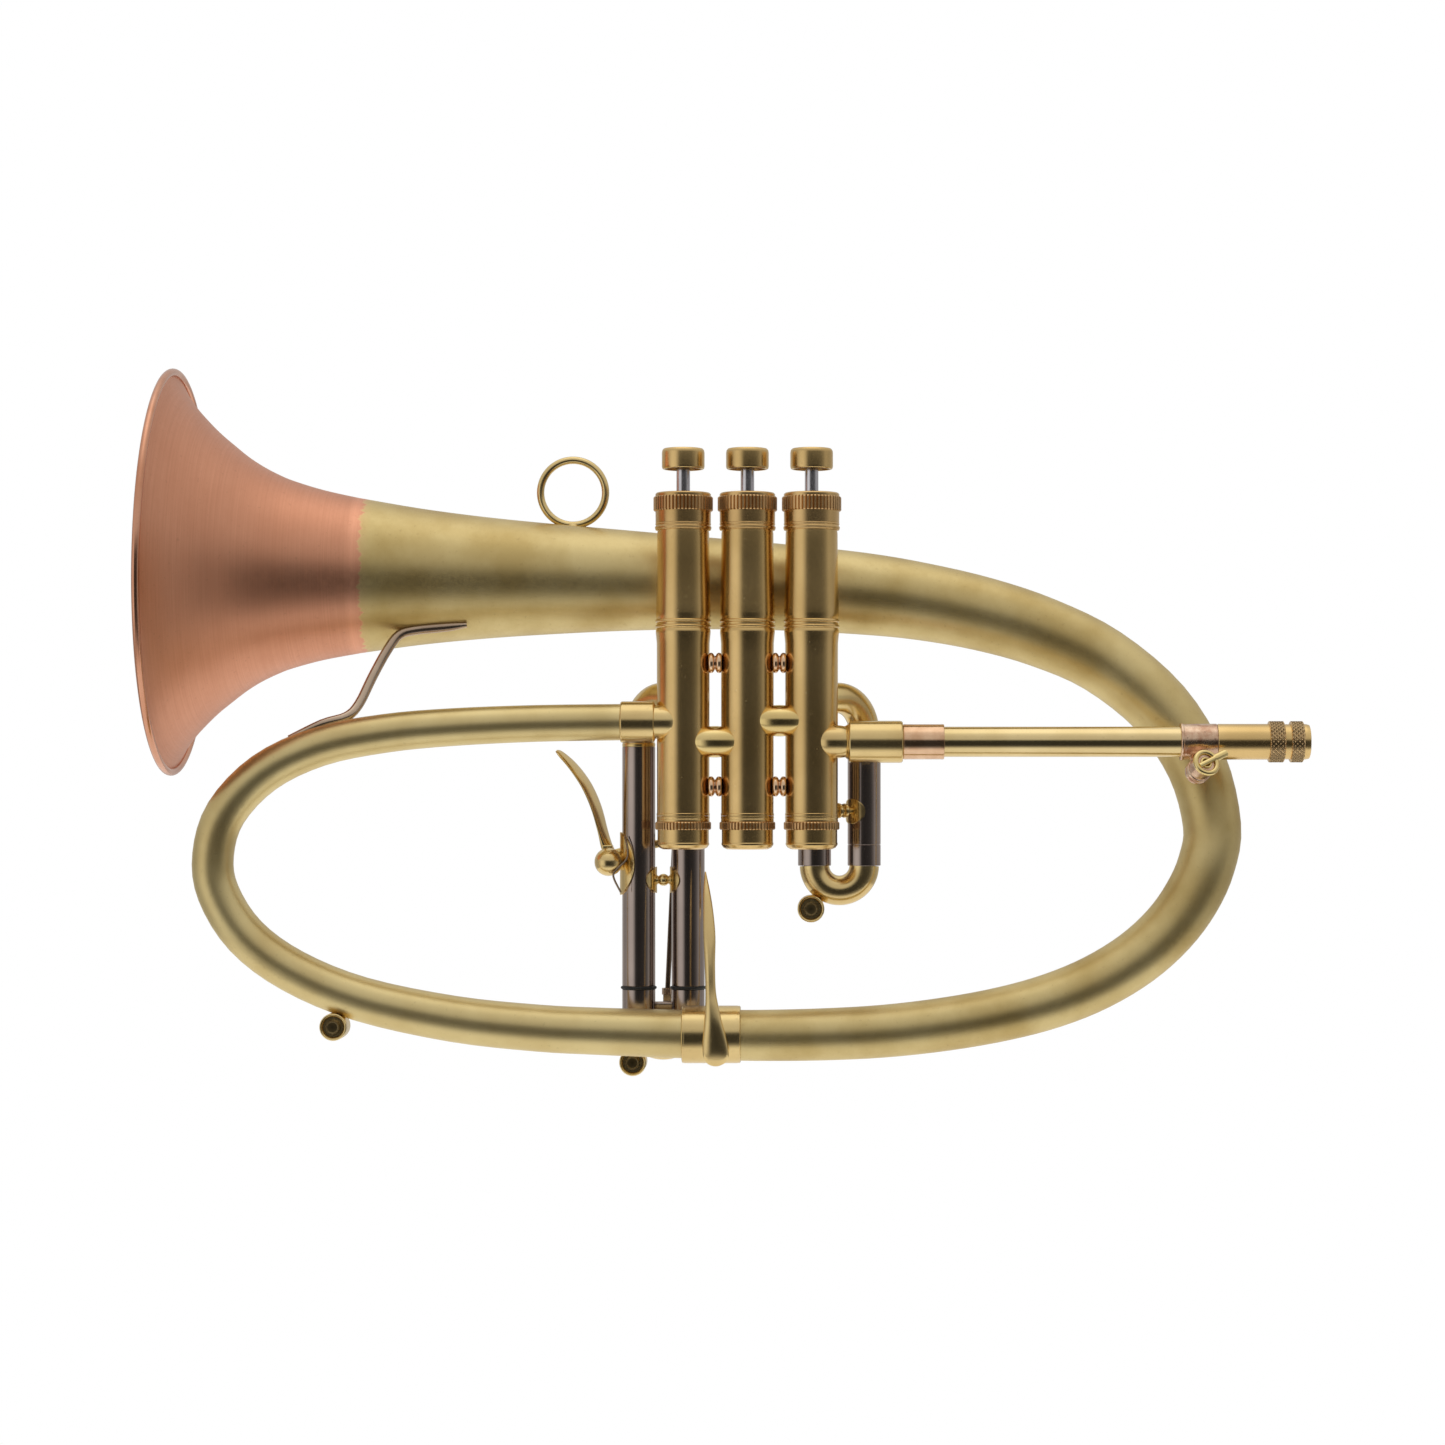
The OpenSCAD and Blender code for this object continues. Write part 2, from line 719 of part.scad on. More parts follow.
// Bends that carry a slide's two legs into its valve, with the collar above each outer tube
module slide_elbows(v, leg_x, foot_z) {
    for (k = [0, 1]) {
        angle = slide_ports[v][k][0];
        z = slide_ports[v][k][1];
        reach = norm([leg_x[k] - valve_x[v], slide_y]);
        bend = k == 0 ? 13.5 : 8;
        translate([leg_x[k], slide_y, 0]) {
            translate([0, 0, foot_z])
                pipe(z - bend - foot_z, crossover_d / 2 + 0.1, port_r);
            translate([0, 0, foot_z])
                pipe(2, leg_r, port_r);
            translate([0, 0, z - bend])
                rotate([0, 0, angle + 180]) {
                    quarter_bend(bend, crossover_d / 2, port_r - 0.1);
                    translate([bend, 0, bend])
                        rotate([0, 90, 0])
                            pipe(reach - bend - 8, crossover_d / 2 - 0.1, port_r);
                }
        }
    }
}

module first_slide_elbows() {
    color(polished_brass)
        difference() {
            slide_elbows(0, first_leg_x, first_elbow_foot_z);
            casing_blanks();
        }
}

module first_slide_sleeves() {
    color(black_nickel)
        for (x = first_leg_x)
            translate([x, slide_y, first_end_z])
                pipe(first_elbow_foot_z - first_end_z, leg_r, sleeve_bore_r);
}

// The legs that slide, each with the lip that closes against its outer tube
module first_slide_legs() {
    color(black_nickel)
        for (x = first_leg_x)
            translate([x, slide_y, first_bow_z]) {
                pipe(first_elbow_foot_z - 1 - first_bow_z, inner_leg_r, port_r);
                pipe(first_end_z - 0.1 - first_bow_z, leg_r, port_r);
            }
}

module first_slide_bow() {
    half = (first_leg_x[0] - first_leg_x[1]) / 2;
    color(polished_brass)
        translate([first_leg_x[1], slide_y, first_bow_z])
            half_bend(half, bow_r, port_r);
}

module third_slide_elbows() {
    color(polished_brass)
        difference() {
            slide_elbows(2, third_leg_x, elbow_foot_z);
            casing_blanks();
        }
}

module third_slide_sleeves() {
    color(black_nickel)
        for (x = third_leg_x)
            translate([x, slide_y, third_end_z])
                pipe(elbow_foot_z - third_end_z, leg_r, sleeve_bore_r);
}

module third_slide_legs() {
    lip_z = third_end_z - bumper_t;
    color(black_nickel) {
        for (x = third_leg_x)
            translate([x, slide_y, third_bow_z]) {
                pipe(elbow_foot_z - 12 - third_bow_z, inner_leg_r, port_r);
                pipe(lip_z - third_bow_z, leg_r, port_r);
            }
        difference() {
            translate([third_leg_x[0] + 4, slide_y - 2, third_bow_z + 3])
                cube([third_leg_x[1] - third_leg_x[0] - 8, 11, 4]);
            for (x = third_leg_x)
                translate([x, slide_y, third_bow_z])
                    cylinder(h = 20, r = leg_r);
        }
    }
}

module third_slide_bow() {
    half = (third_leg_x[1] - third_leg_x[0]) / 2;
    color(polished_brass)
        translate([third_leg_x[0], slide_y, third_bow_z])
            half_bend(half, bow_r, port_r);
}

// Rubber rings that quieten the third slide as it closes
module slide_bumpers() {
    color(rubber)
        for (x = third_leg_x)
            translate([x, slide_y, third_end_z - bumper_t])
                pipe(bumper_t - 0.1, leg_r + 0.5, inner_leg_r);
}

module second_slide_sleeves() {
    color(black_nickel)
        difference() {
            for (z = second_port_z)
                translate([0, 0, z])
                    rotate([-90, 0, 0]) {
                        pipe(15, crossover_d / 2, port_r);
                        translate([0, 0, 13])
                            pipe(second_sleeve_y - 13, leg_r, sleeve_bore_r);
                    }
            casing_blanks();
        }
}

module second_slide_bow() {
    half = (second_port_z[1] - second_port_z[0]) / 2;
    color(polished_brass) {
        for (z = second_port_z)
            translate([0, 15.5, z])
                rotate([-90, 0, 0]) {
                    pipe(second_bow_y - 15.5, inner_leg_r, port_r);
                    translate([0, 0, second_sleeve_y + 0.1 - 15.5])
                        pipe(second_bow_y - second_sleeve_y - 0.1, leg_r, port_r);
                }
        translate([0, second_bow_y, second_port_z[1]])
            rotate([0, 90, 0])
                rotate([0, 0, 90])
                    rotate([-90, 0, 0])
                        half_bend(half, bow_r, port_r);
    }
}

// A turned post with a curved saddle at each end that needs one
module slide_braces() {
    angle = slide_ports[0][0][0];
    reach = norm([first_leg_x[0] - valve_x[0], slide_y]);
    half = (third_leg_x[1] - third_leg_x[0]) / 2;
    color(rose)
        difference() {
            union() {
                translate([valve_x[0], 0, -26.3])
                    rotate([0, 0, angle])
                        rotate([0, 90, 0]) {
                            cylinder(h = reach, r = 1.6);
                            translate([0, 0, 12.6])
                                cylinder(h = 1.6, r = 3.4);
                            translate([0, 0, 16.6])
                                cylinder(h = 1.6, r = 3);
                        }
                translate([first_leg_x[0], slide_y, -31.5])
                    intersection() {
                        cylinder(h = 9.4, r = leg_r + 0.7);
                        rotate([0, 0, angle + 180])
                            translate([3.4, -5, 0])
                                cube([6, 10, 9.4]);
                    }
                translate([third_leg_x[0], slide_y, -53.1])
                    rotate([0, 90, 0])
                        rotate_extrude()
                            polygon([
                                [0, 0], [1.2, 0], [1.2, half - 2.6], [1.9, half - 2], [2.4, half - 0.8], [2.4, half + 0.8],
                                [1.9, half + 2], [1.2, half + 2.6], [1.2, 2 * half], [0, 2 * half]
                            ]);
                for (k = [0, 1])
                    translate([third_leg_x[k], slide_y, -58])
                        intersection() {
                            cylinder(h = 9.8, r = leg_r + 0.7);
                            translate([k == 0 ? 4.4 : -8.4, -5, 0])
                                cube([4, 10, 9.8]);
                        }
            }
            casing_blanks();
            for (x = concat(first_leg_x, third_leg_x))
                translate([x, slide_y, -80])
                    cylinder(h = 80, r = leg_r);
        }
}

// ---- Third-slide trigger ----

// Saddle on the third slide's outer tube, with the pivot pin
module trigger_saddle() {
    color(polished_brass)
        difference() {
            union() {
                translate([third_leg_x[0], slide_y, -59])
                    intersection() {
                        cylinder(h = 24.4, r = leg_r + 0.9);
                        translate([-9, -6, 0])
                            cube([6, 12, 24.4]);
                    }
                translate([pivot[0], pivot[1] - 1.4, pivot[2]])
                    rotate([-90, 0, 0])
                        cylinder(h = 2.8, r = 3.4);
                translate([pivot[0], pivot[1] - 1.4, pivot[2] - 1.6])
                    cube([6, 2.8, 3.2]);
                translate([pivot[0], pivot[1] - 7, pivot[2]])
                    rotate([-90, 0, 0])
                        cylinder(h = 14, r = pivot_r);
                translate([pivot[0], pivot[1] - 9, pivot[2]])
                    sphere(r = ball_r);
            }
            translate([third_leg_x[0], slide_y, -80])
                cylinder(h = 70, r = leg_r);
        }
}

// Lever: two cheeks on the pin, the finger blade, and an arm that passes behind the slide
module trigger_lever() {
    cheek_y = [pivot[1] - 3.6, pivot[1] + 1.6];
    color(polished_brass)
        difference() {
            union() {
                for (y = cheek_y)
                    translate([pivot[0], y, pivot[2]])
                        rotate([-90, 0, 0])
                            cylinder(h = 2, r = 3.6);
                for (y = cheek_y)
                    translate([pivot[0] - 3, y, pivot[2]])
                        cube([4.4, 2, 6.4]);
                swept_bar(smoothed(blade_route, 2), 12);
                translate([pivot[0] - 2, pivot[1] + 3.5, pivot[2] - 1.5])
                    cube([4, 6.5, 5]);
                translate([pivot[0], trigger_back_y, pivot[2]])
                    rotate([0, -atan2(rod_top[2] - pivot[2], rod_top[0] - pivot[0]), 0])
                        translate([-2, -1, -1.6])
                            cube([norm(rod_top - [pivot[0], trigger_back_y, pivot[2]]) + 3.6, 2, 3.6]);
                translate([rod_top[0], rod_top[1], rod_top[2]])
                    rotate([-90, 0, 0])
                        cylinder(h = 4.4, r = 0.9);
            }
            translate([pivot[0], pivot[1] - 12, pivot[2]])
                rotate([-90, 0, 0])
                    cylinder(h = 19.5, r = pivot_r + running_gap);
            translate([pivot[0], pivot[1] - 9, pivot[2]])
                sphere(r = ball_r + 0.3);
        }
}

module trigger_spring() {
    color(steel)
        swept_bar(smoothed(wire_spring_route, 3), 6);
}

// Connecting rod with its slotted eye, lock nut and the fork screwed to the moving slide
module slide_rod() {
    eye_y = rod_top[1] + 1.3;
    color(nickel_silver)
        difference() {
            union() {
                rod_between([rod_top[0], eye_y + 1.2, rod_top[2] - 2], [rod_foot[0], eye_y + 1.2, rod_foot[2]], 1);
                translate([rod_top[0] - 3, eye_y, rod_top[2] - 2.6])
                    cube([6, 2.4, 5.2]);
                translate([rod_foot[0], eye_y + 1.2, -98.2])
                    cylinder(h = 2.6, r = 2.2, $fn = 6);
                translate([rod_foot[0] - 1.6, eye_y - 2.4, -101])
                    cube([3.2, 5.4, 3]);
            }
            translate([rod_top[0] - 1, rod_top[1] - 1, rod_top[2] - 1.2])
                cube([2, 6, 2.4]);
            for (s = [-1, 1])
                translate([rod_top[0] + s, rod_top[1] - 1, rod_top[2]])
                    rotate([-90, 0, 0])
                        cylinder(h = 6, r = 1.2);
        }
}

// ---- Water keys ----

// A short barrel across the tube with a saddle towards what it drains
module key_barrel(at, saddle) {
    color(polished_brass)
        difference() {
            union() {
                translate([at[0], at[1] - key_len / 2, at[2]])
                    rotate([-90, 0, 0])
                        rotate_extrude()
                            polygon([[0, 0], [4.4, 0], [key_r, 0.6], [key_r, key_len - 0.6], [4.4, key_len], [0, key_len]]);
                rod_between(at, at + saddle, 3);
            }
            translate([at[0], at[1] - key_len / 2 - 1, at[2]])
                rotate([-90, 0, 0]) {
                    cylinder(h = key_len - 1, r = plunger_r + running_gap);
                    cylinder(h = 2.2, r = 4.1);
                }
        }
}

module key_plunger(at) {
    color(polished_brass)
        translate([at[0], at[1] - key_len / 2 - key_travel, at[2]])
            rotate([-90, 0, 0])
                rotate_extrude()
                    polygon([
                        [0, 0.3], [1.9, 0], [2.4, 0.2], [plunger_r, 0.6], [plunger_r, 5], [2, 5], [2, 6.4],
                        [plunger_r, 6.4], [plunger_r, key_len - 2.2], [0, key_len - 2.2]
                    ]);
}

module bow_key_barrel() { key_barrel(bow_key, [1.4, 0, 4.2]); }
module first_key_barrel() { key_barrel(first_key, [2.6, 0, 5]); }
module third_key_barrel() { key_barrel(third_key, [3, 0, 4.6]); }
module bow_key_plunger() { key_plunger(bow_key); }
module first_key_plunger() { key_plunger(first_key); }
module third_key_plunger() { key_plunger(third_key); }

valve_casing_1();
valve_casing_2();
valve_casing_3();
top_caps();
bottom_caps();
cap_felts();
valve_guides();
valve_spring_1();
valve_spring_2();
valve_spring_3();
piston_1();
piston_2();
piston_3();
valve_stem_1();
valve_stem_2();
valve_stem_3();
finger_button_1();
finger_button_2();
finger_button_3();
crossovers();
casing_braces();
leadpipe_socket();
leadpipe_ferrule();
leadpipe();
receiver();
clamp_sleeve();
clamp_screw();
outlet_ferrule();
left_tube();
bottom_ferrule();
bell_tail();
bell_flare();
rim_wire();
s_brace();
finger_ring();
hand_hook();
bell_braces();
first_slide_elbows();
first_slide_sleeves();
first_slide_legs();
first_slide_bow();
third_slide_elbows();
third_slide_sleeves();
third_slide_legs();
third_slide_bow();
slide_bumpers();
second_slide_sleeves();
second_slide_bow();
slide_braces();
trigger_saddle();
trigger_lever();
trigger_spring();
slide_rod();
bow_key_barrel();
first_key_barrel();
third_key_barrel();
bow_key_plunger();
first_key_plunger();
third_key_plunger();
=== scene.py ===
"""Looks of a flugelhorn with three piston valves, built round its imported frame.

Sizes are in millimetres and are turned to metres where a mesh is made. The frame's origin is on the
middle valve's axis at the leadpipe's height; +X runs to the mouthpiece, +Z to the finger buttons and +Y
to the bell's side.
"""

import logging
import math
from dataclasses import dataclass, field
from enum import Enum
from itertools import pairwise

import bmesh
import bpy
from mathutils import Matrix, Vector


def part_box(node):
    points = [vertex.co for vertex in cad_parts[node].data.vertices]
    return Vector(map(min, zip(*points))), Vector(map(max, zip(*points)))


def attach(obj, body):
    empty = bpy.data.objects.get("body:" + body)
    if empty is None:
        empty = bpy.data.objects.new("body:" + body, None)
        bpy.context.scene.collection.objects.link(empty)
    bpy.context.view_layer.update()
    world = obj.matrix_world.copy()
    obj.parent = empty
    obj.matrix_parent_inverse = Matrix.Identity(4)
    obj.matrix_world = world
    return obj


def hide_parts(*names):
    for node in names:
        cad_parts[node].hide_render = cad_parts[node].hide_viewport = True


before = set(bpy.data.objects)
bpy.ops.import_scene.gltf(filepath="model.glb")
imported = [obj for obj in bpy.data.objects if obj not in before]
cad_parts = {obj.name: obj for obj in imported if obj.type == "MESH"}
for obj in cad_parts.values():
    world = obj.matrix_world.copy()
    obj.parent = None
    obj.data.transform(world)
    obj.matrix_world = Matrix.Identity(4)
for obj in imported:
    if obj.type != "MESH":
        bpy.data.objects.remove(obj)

LOG = logging.getLogger("flugelhorn")
MM = 0.001
POLE = 0.002  # a ring this small is merged into one point
BORE_CUT = 9.3  # radius cut out of whatever runs into a casing
BEND_WALL = 0.65  # wall of the slides' bows

Profile = list[tuple[float, float]]
Route = list[tuple[float, ...]]
Colour = tuple[int, int, int]


# ---- The bench: tools that every class works with ----


class Ends(Enum):
    """What becomes of the first and last ring of a skin."""

    OPEN = "open"
    CAPPED = "capped"
    RING = "ring"


class Knurl(Enum):
    """The pattern pressed into a grip."""

    STRAIGHT = "straight"
    DIAMOND = "diamond"


@dataclass(frozen=True)
class Place:
    """Where a turned piece stands: a point on its axis and the way the axis runs."""

    at: tuple[float, float, float] = (0, 0, 0)
    along: tuple[float, float, float] = (0, 0, 1)

    def matrix(self) -> Matrix:
        """The move from the lathe to the horn, in millimetres."""
        turn = Vector((0, 0, 1)).rotation_difference(Vector(self.along))
        return Matrix.Translation(self.at) @ turn.to_matrix().to_4x4()


def spot(node: str) -> Vector:
    """The middle of a frame node's box, in millimetres."""
    low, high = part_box(node)
    return (low + high) / 2 / MM


def select_only(*pieces: bpy.types.Object) -> None:
    """Selects these pieces alone, with the first one active."""
    if bpy.context.object and bpy.context.object.mode != "OBJECT":
        bpy.ops.object.mode_set(mode="OBJECT")
    bpy.ops.object.select_all(action="DESELECT")
    for piece in pieces:
        piece.select_set(True)
    if pieces:
        bpy.context.view_layer.objects.active = pieces[0]


def skinned(name: str, rings: list[Matrix], sides: int, ends: Ends) -> bpy.types.Object:
    """Draws a skin through rings: a circle is extruded and each new ring is brought to its place.

    Args:
        name: The piece's name.
        rings: Where a circle of radius 1 goes for each ring, in millimetres.
        sides: Corners of each ring.
        ends: What becomes of the first and last ring.

    Returns:
        The new piece, at the origin.
    """
    select_only()
    bpy.ops.mesh.primitive_circle_add(vertices=sides, radius=1, fill_type="NOTHING", enter_editmode=True)
    piece = bpy.context.object
    piece.name = piece.data.name = name
    steps = [Matrix.Scale(MM, 4) @ ring for ring in rings]
    mesh = bmesh.from_edit_mesh(piece.data)
    bmesh.ops.transform(mesh, matrix=steps[0], verts=mesh.verts[:])
    for before, after in pairwise(steps):
        bpy.ops.mesh.extrude_region_move()
        mesh = bmesh.from_edit_mesh(piece.data)
        front = [v for v in mesh.verts if v.select]
        bmesh.ops.transform(mesh, matrix=after @ before.inverted(), verts=front)
    bmesh.update_edit_mesh(piece.data)
    if ends is Ends.RING:
        bpy.ops.mesh.select_all(action="DESELECT")
        bpy.ops.mesh.select_non_manifold(use_wire=False, use_multi_face=False, use_non_contiguous=False,
            use_verts=False)
        bpy.ops.mesh.bridge_edge_loops()
    bpy.ops.mesh.select_all(action="SELECT")
    bpy.ops.mesh.remove_doubles(threshold=4 * POLE * MM)
    if ends is Ends.CAPPED:
        bpy.ops.mesh.fill_holes(sides=0)
    bpy.ops.mesh.normals_make_consistent(inside=False)
    bpy.ops.object.mode_set(mode="OBJECT")
    return piece


def rounded(profile: Profile, radius: float, closed: bool) -> Profile:
    """Rounds the corners of an outline.

    Args:
        profile: Corners as (radius, height).
        radius: How far from a corner its rounding starts.
        closed: Whether the last corner joins the first.

    Returns:
        The outline with each clear corner replaced by four points.
    """
    made: Profile = []
    count = len(profile)
    for i, corner in enumerate(profile):
        p = Vector(corner)
        a, b = Vector(profile[i - 1]), Vector(profile[(i + 1) % count])
        at_end = not closed and i in (0, count - 1)
        into, out = a - p, b - p
        if at_end or into.length < 1e-6 or out.length < 1e-6 or into.angle(out) > math.radians(155):
            made.append(corner)
            continue
        pa = p + into.normalized() * min(radius, into.length * 0.4)
        pb = p + out.normalized() * min(radius, out.length * 0.4)
        for t in (0, 1 / 3, 2 / 3, 1):
            q = pa * (1 - t) ** 2 + p * 2 * t * (1 - t) + pb * t * t
            made.append((q.x, q.y))
    return made


def bead(radius: float, low: float, high: float, height: float) -> Profile:
    """A half-round bead on a cylinder, from low to high."""
    turns = [math.pi * k / 6 for k in range(7)]
    return [(radius + height * math.sin(a), low + (high - low) * (1 - math.cos(a)) / 2) for a in turns]


def round_wire(major: float, height: float, minor: float, steps: int = 16) -> Profile:
    """The outline of a round wire bent into a ring."""
    turns = [2 * math.pi * k / steps for k in range(steps)]
    return [(major + minor * math.cos(a), height + minor * math.sin(a)) for a in turns]


def turned(
    name: str, profile: Profile, place: Place, sides: int = 72, ends: Ends = Ends.RING, soft: float = 0.15
) -> bpy.types.Object:
    """Turns a piece on the lathe.

    Args:
        name: The piece's name.
        profile: Outline as (radius, height) along the axis.
        place: Where the axis stands.
        sides: Corners of each ring.
        ends: RING for a hollow outline that closes on itself, CAPPED for one that runs from pole to pole.
        soft: How far each corner is rounded.

    Returns:
        The new piece.
    """
    outline = rounded(profile, soft, ends is Ends.RING) if soft else profile
    base = place.matrix()
    rings = []
    for r, h in outline:
        r = max(r, POLE)
        rings.append(base @ Matrix.Translation((0, 0, h)) @ Matrix.Diagonal((r, r, 1, 1)))
    return skinned(name, rings, sides, ends)


def smoothed(route: Route, steps: int) -> list[Vector]:
    """A smooth curve through the points of a route, whatever number of values each holds."""
    made = []
    last = len(route) - 1
    for i in range(last):
        a, b, c, d = (Vector(route[min(max(k, 0), last)]) for k in (i - 1, i, i + 1, i + 2))
        for k in range(steps):
            t = k / steps
            made.append(
                0.5 * (2 * b + (c - a) * t + (2 * a - 5 * b + 4 * c - d) * t * t
                       + (3 * b - a - 3 * c + d) * t**3)
            )
    made.append(Vector(route[last]))
    return made


def swept(
    name: str, route: list[Vector], sides: int, ends: Ends, side: Vector = Vector((0, 1, 0)),
    lean: float = 0,
) -> bpy.types.Object:
    """Draws a bar or tube along a route.

    Args:
        name: The piece's name.
        route: Points as (x, y, z, width) or (x, y, z, width, depth).
        sides: Corners of each ring.
        ends: What becomes of the two ends.
        side: The direction that depth is measured along.
        lean: How far each ring is turned about the route, in degrees.

    Returns:
        The new piece.
    """
    twist = Matrix.Rotation(math.radians(lean), 4, "Z")
    rings = []
    for i, q in enumerate(route):
        ahead = route[min(i + 1, len(route) - 1)]
        behind = route[max(i - 1, 0)]
        t = (Vector(ahead[:3]) - Vector(behind[:3])).normalized()
        a = side.cross(t).normalized()
        b = t.cross(a)
        ring = Matrix((a, b, t)).transposed().to_4x4()
        ring.translation = Vector(q[:3])
        rings.append(ring @ twist @ Matrix.Diagonal((q[3] / 2, q[-1] / 2, 1, 1)))
    return skinned(name, rings, sides, ends)


def modified(piece: bpy.types.Object, kind: str, **settings: object) -> bpy.types.Object:
    """Adds a modifier with these settings and applies it."""
    select_only(piece)
    modifier = piece.modifiers.new(kind.title(), kind)
    for key, value in settings.items():
        setattr(modifier, key, value)
    bpy.ops.object.modifier_apply(modifier=modifier.name)
    return piece


def tube(
    name: str, route: list[Vector], wall: float, sides: int = 48, side: Vector = Vector((0, 1, 0))
) -> bpy.types.Object:
    """Draws a hollow tube along a route of (x, y, z, outside diameter), with its wall turned inwards."""
    piece = swept(name, route, sides, Ends.OPEN, side)
    return modified(piece, "SOLIDIFY", thickness=wall * MM, offset=-1)


def joined(name: str, pieces: list[bpy.types.Object]) -> bpy.types.Object:
    """Joins pieces into one object of that name."""
    select_only(*pieces)
    if len(pieces) > 1:
        bpy.ops.object.join()
    pieces[0].name = pieces[0].data.name = name
    return pieces[0]


def copied(piece: bpy.types.Object, name: str, shift: Vector) -> bpy.types.Object:
    """Copies a piece with its own mesh and moves the copy by a shift in millimetres."""
    select_only(piece)
    bpy.ops.object.duplicate(linked=False)
    copy = bpy.context.object
    copy.name = copy.data.name = name
    bpy.ops.transform.translate(value=shift * MM)
    bpy.ops.object.transform_apply(location=True, rotation=False, scale=False)
    return copy


def knurled(
    piece: bpy.types.Object, place: Place, low: float, high: float, depth: float, pitch: float,
    pattern: Knurl,
) -> bpy.types.Object:
    """Presses a knurl into the rings of a turned piece.

    Args:
        piece: The turned piece.
        place: Where its axis stands.
        low: Where the band starts along the axis.
        high: Where the band ends.
        depth: How deep the knurl is pressed.
        pitch: Angle between neighbouring corners of a ring, in radians.
        pattern: Straight or diamond.

    Returns:
        The same piece.
    """
    select_only(piece)
    bpy.ops.object.mode_set(mode="EDIT")
    mesh = bmesh.from_edit_mesh(piece.data)
    base = place.matrix()
    back = base.inverted()
    widest = max((back @ (v.co / MM)).xy.length for v in mesh.verts if low <= (back @ (v.co / MM)).z <= high)
    for vert in mesh.verts:
        p = back @ (vert.co / MM)
        if not low <= p.z <= high or p.xy.length < widest - 0.3:
            continue
        column = round(math.atan2(p.y, p.x) / pitch)
        row = round((p.z - low) / (widest * pitch))
        if pattern is Knurl.STRAIGHT:
            pressed = column % 4 == 0
        else:
            pressed = (column + row) % 4 == 0 or (column - row) % 4 == 0
        if pressed:
            shrink = 1 - depth / p.xy.length
            vert.co = base @ Vector((p.x * shrink, p.y * shrink, p.z)) * MM
    bmesh.update_edit_mesh(piece.data)
    bpy.ops.object.mode_set(mode="OBJECT")
    return piece


def bored(piece: bpy.types.Object) -> bpy.types.Object:
    """Cuts the bores of the three casings out of a piece."""
    for k in (1, 2, 3):
        centre = spot(f"valve_casing_{k}") * MM
        select_only()
        bpy.ops.mesh.primitive_cylinder_add(vertices=96, radius=BORE_CUT * MM, depth=0.3,
            location=(centre.x, centre.y, 0))
        cutter = bpy.context.object
        modified(piece, "BOOLEAN", object=cutter, operation="DIFFERENCE", solver="EXACT")
        bpy.data.objects.remove(cutter)
    return piece


def barrel(name: str, at: Vector, radius: float, half: float, power: float) -> bpy.types.Object:
    """Turns a barrel-shaped tube end along X and cuts it to the casings' bores.

    Args:
        name: The piece's name.
        at: Its middle.
        radius: Its widest radius.
        half: Half the length at which it would close.
        power: How square its ends are.

    Returns:
        The new piece.
    """
    reach = half * 0.86
    steps = [reach * k / 10 for k in range(-10, 11)]
    side = [(radius * math.sqrt(1 - abs(h / half) ** power), h) for h in steps]
    return bored(turned(name, [(0, -reach), *side, (0, reach)], Place(tuple(at), (1, 0, 0)), 64,
        Ends.CAPPED, 0))


def saddle(
    name: str, axis: Vector, radius: float, facing: float, half_height: float, half_angle: float,
    thick: float,
) -> bpy.types.Object:
    """Bends a leaf of sheet round an upright tube.

    Args:
        name: The piece's name.
        axis: A point on the tube's axis at the leaf's middle.
        radius: Inner radius of the leaf.
        facing: Direction that the leaf faces, as an angle about +Z from +X, in degrees.
        half_height: Half the leaf's height.
        half_angle: Half the angle that it wraps at its widest, in degrees.
        thick: Its thickness.

    Returns:
        The new piece.
    """
    select_only()
    bpy.ops.mesh.primitive_grid_add(x_subdivisions=10, y_subdivisions=20, size=2, enter_editmode=True)
    piece = bpy.context.object
    piece.name = piece.data.name = name
    mesh = bmesh.from_edit_mesh(piece.data)
    for vert in mesh.verts:
        v = vert.co.y * 0.995
        turn = math.radians(facing + half_angle * vert.co.x * math.sqrt(1 - v * v))
        vert.co = (axis + Vector((radius * math.cos(turn), radius * math.sin(turn), v * half_height))) * MM
    bmesh.update_edit_mesh(piece.data)
    bpy.ops.mesh.normals_make_consistent(inside=False)
    bpy.ops.object.mode_set(mode="OBJECT")
    outwards = Vector((math.cos(math.radians(facing)), math.sin(math.radians(facing)), 0))
    if sum((f.normal.dot(outwards) for f in piece.data.polygons)) < 0:
        bpy.ops.object.mode_set(mode="EDIT")
        bpy.ops.mesh.flip_normals()
        bpy.ops.object.mode_set(mode="OBJECT")
    modified(piece, "SOLIDIFY", thickness=thick * MM, offset=1)
    return modified(piece, "BEVEL", width=thick * 0.3 * MM, segments=2, limit_method="ANGLE",
        angle_limit=0.9)


def block(name: str, low: Vector, high: Vector, soft: float) -> bpy.types.Object:
    """Mills a block between two corners and eases its edges."""
    select_only()
    bpy.ops.mesh.primitive_cube_add(size=1, location=(low + high) / 2 * MM, scale=(high - low) * MM)
    piece = bpy.context.object
    piece.name = piece.data.name = name
    bpy.ops.object.transform_apply(location=True, rotation=True, scale=True)
    return modified(piece, "BEVEL", width=soft * MM, segments=3)


def arc(centre: Vector, radius: float, u: Vector, v: Vector, start: float, end: float,
    size: float) -> list[Vector]:
    """Points of an arc in the plane of u and v, as (x, y, z, diameter)."""
    steps = max(6, round(abs(end - start) / 6))
    made = []
    for k in range(steps + 1):
        a = math.radians(start + (end - start) * k / steps)
        p = centre + radius * (math.cos(a) * u + math.sin(a) * v)
        made.append(Vector((*p, size)))
    return made


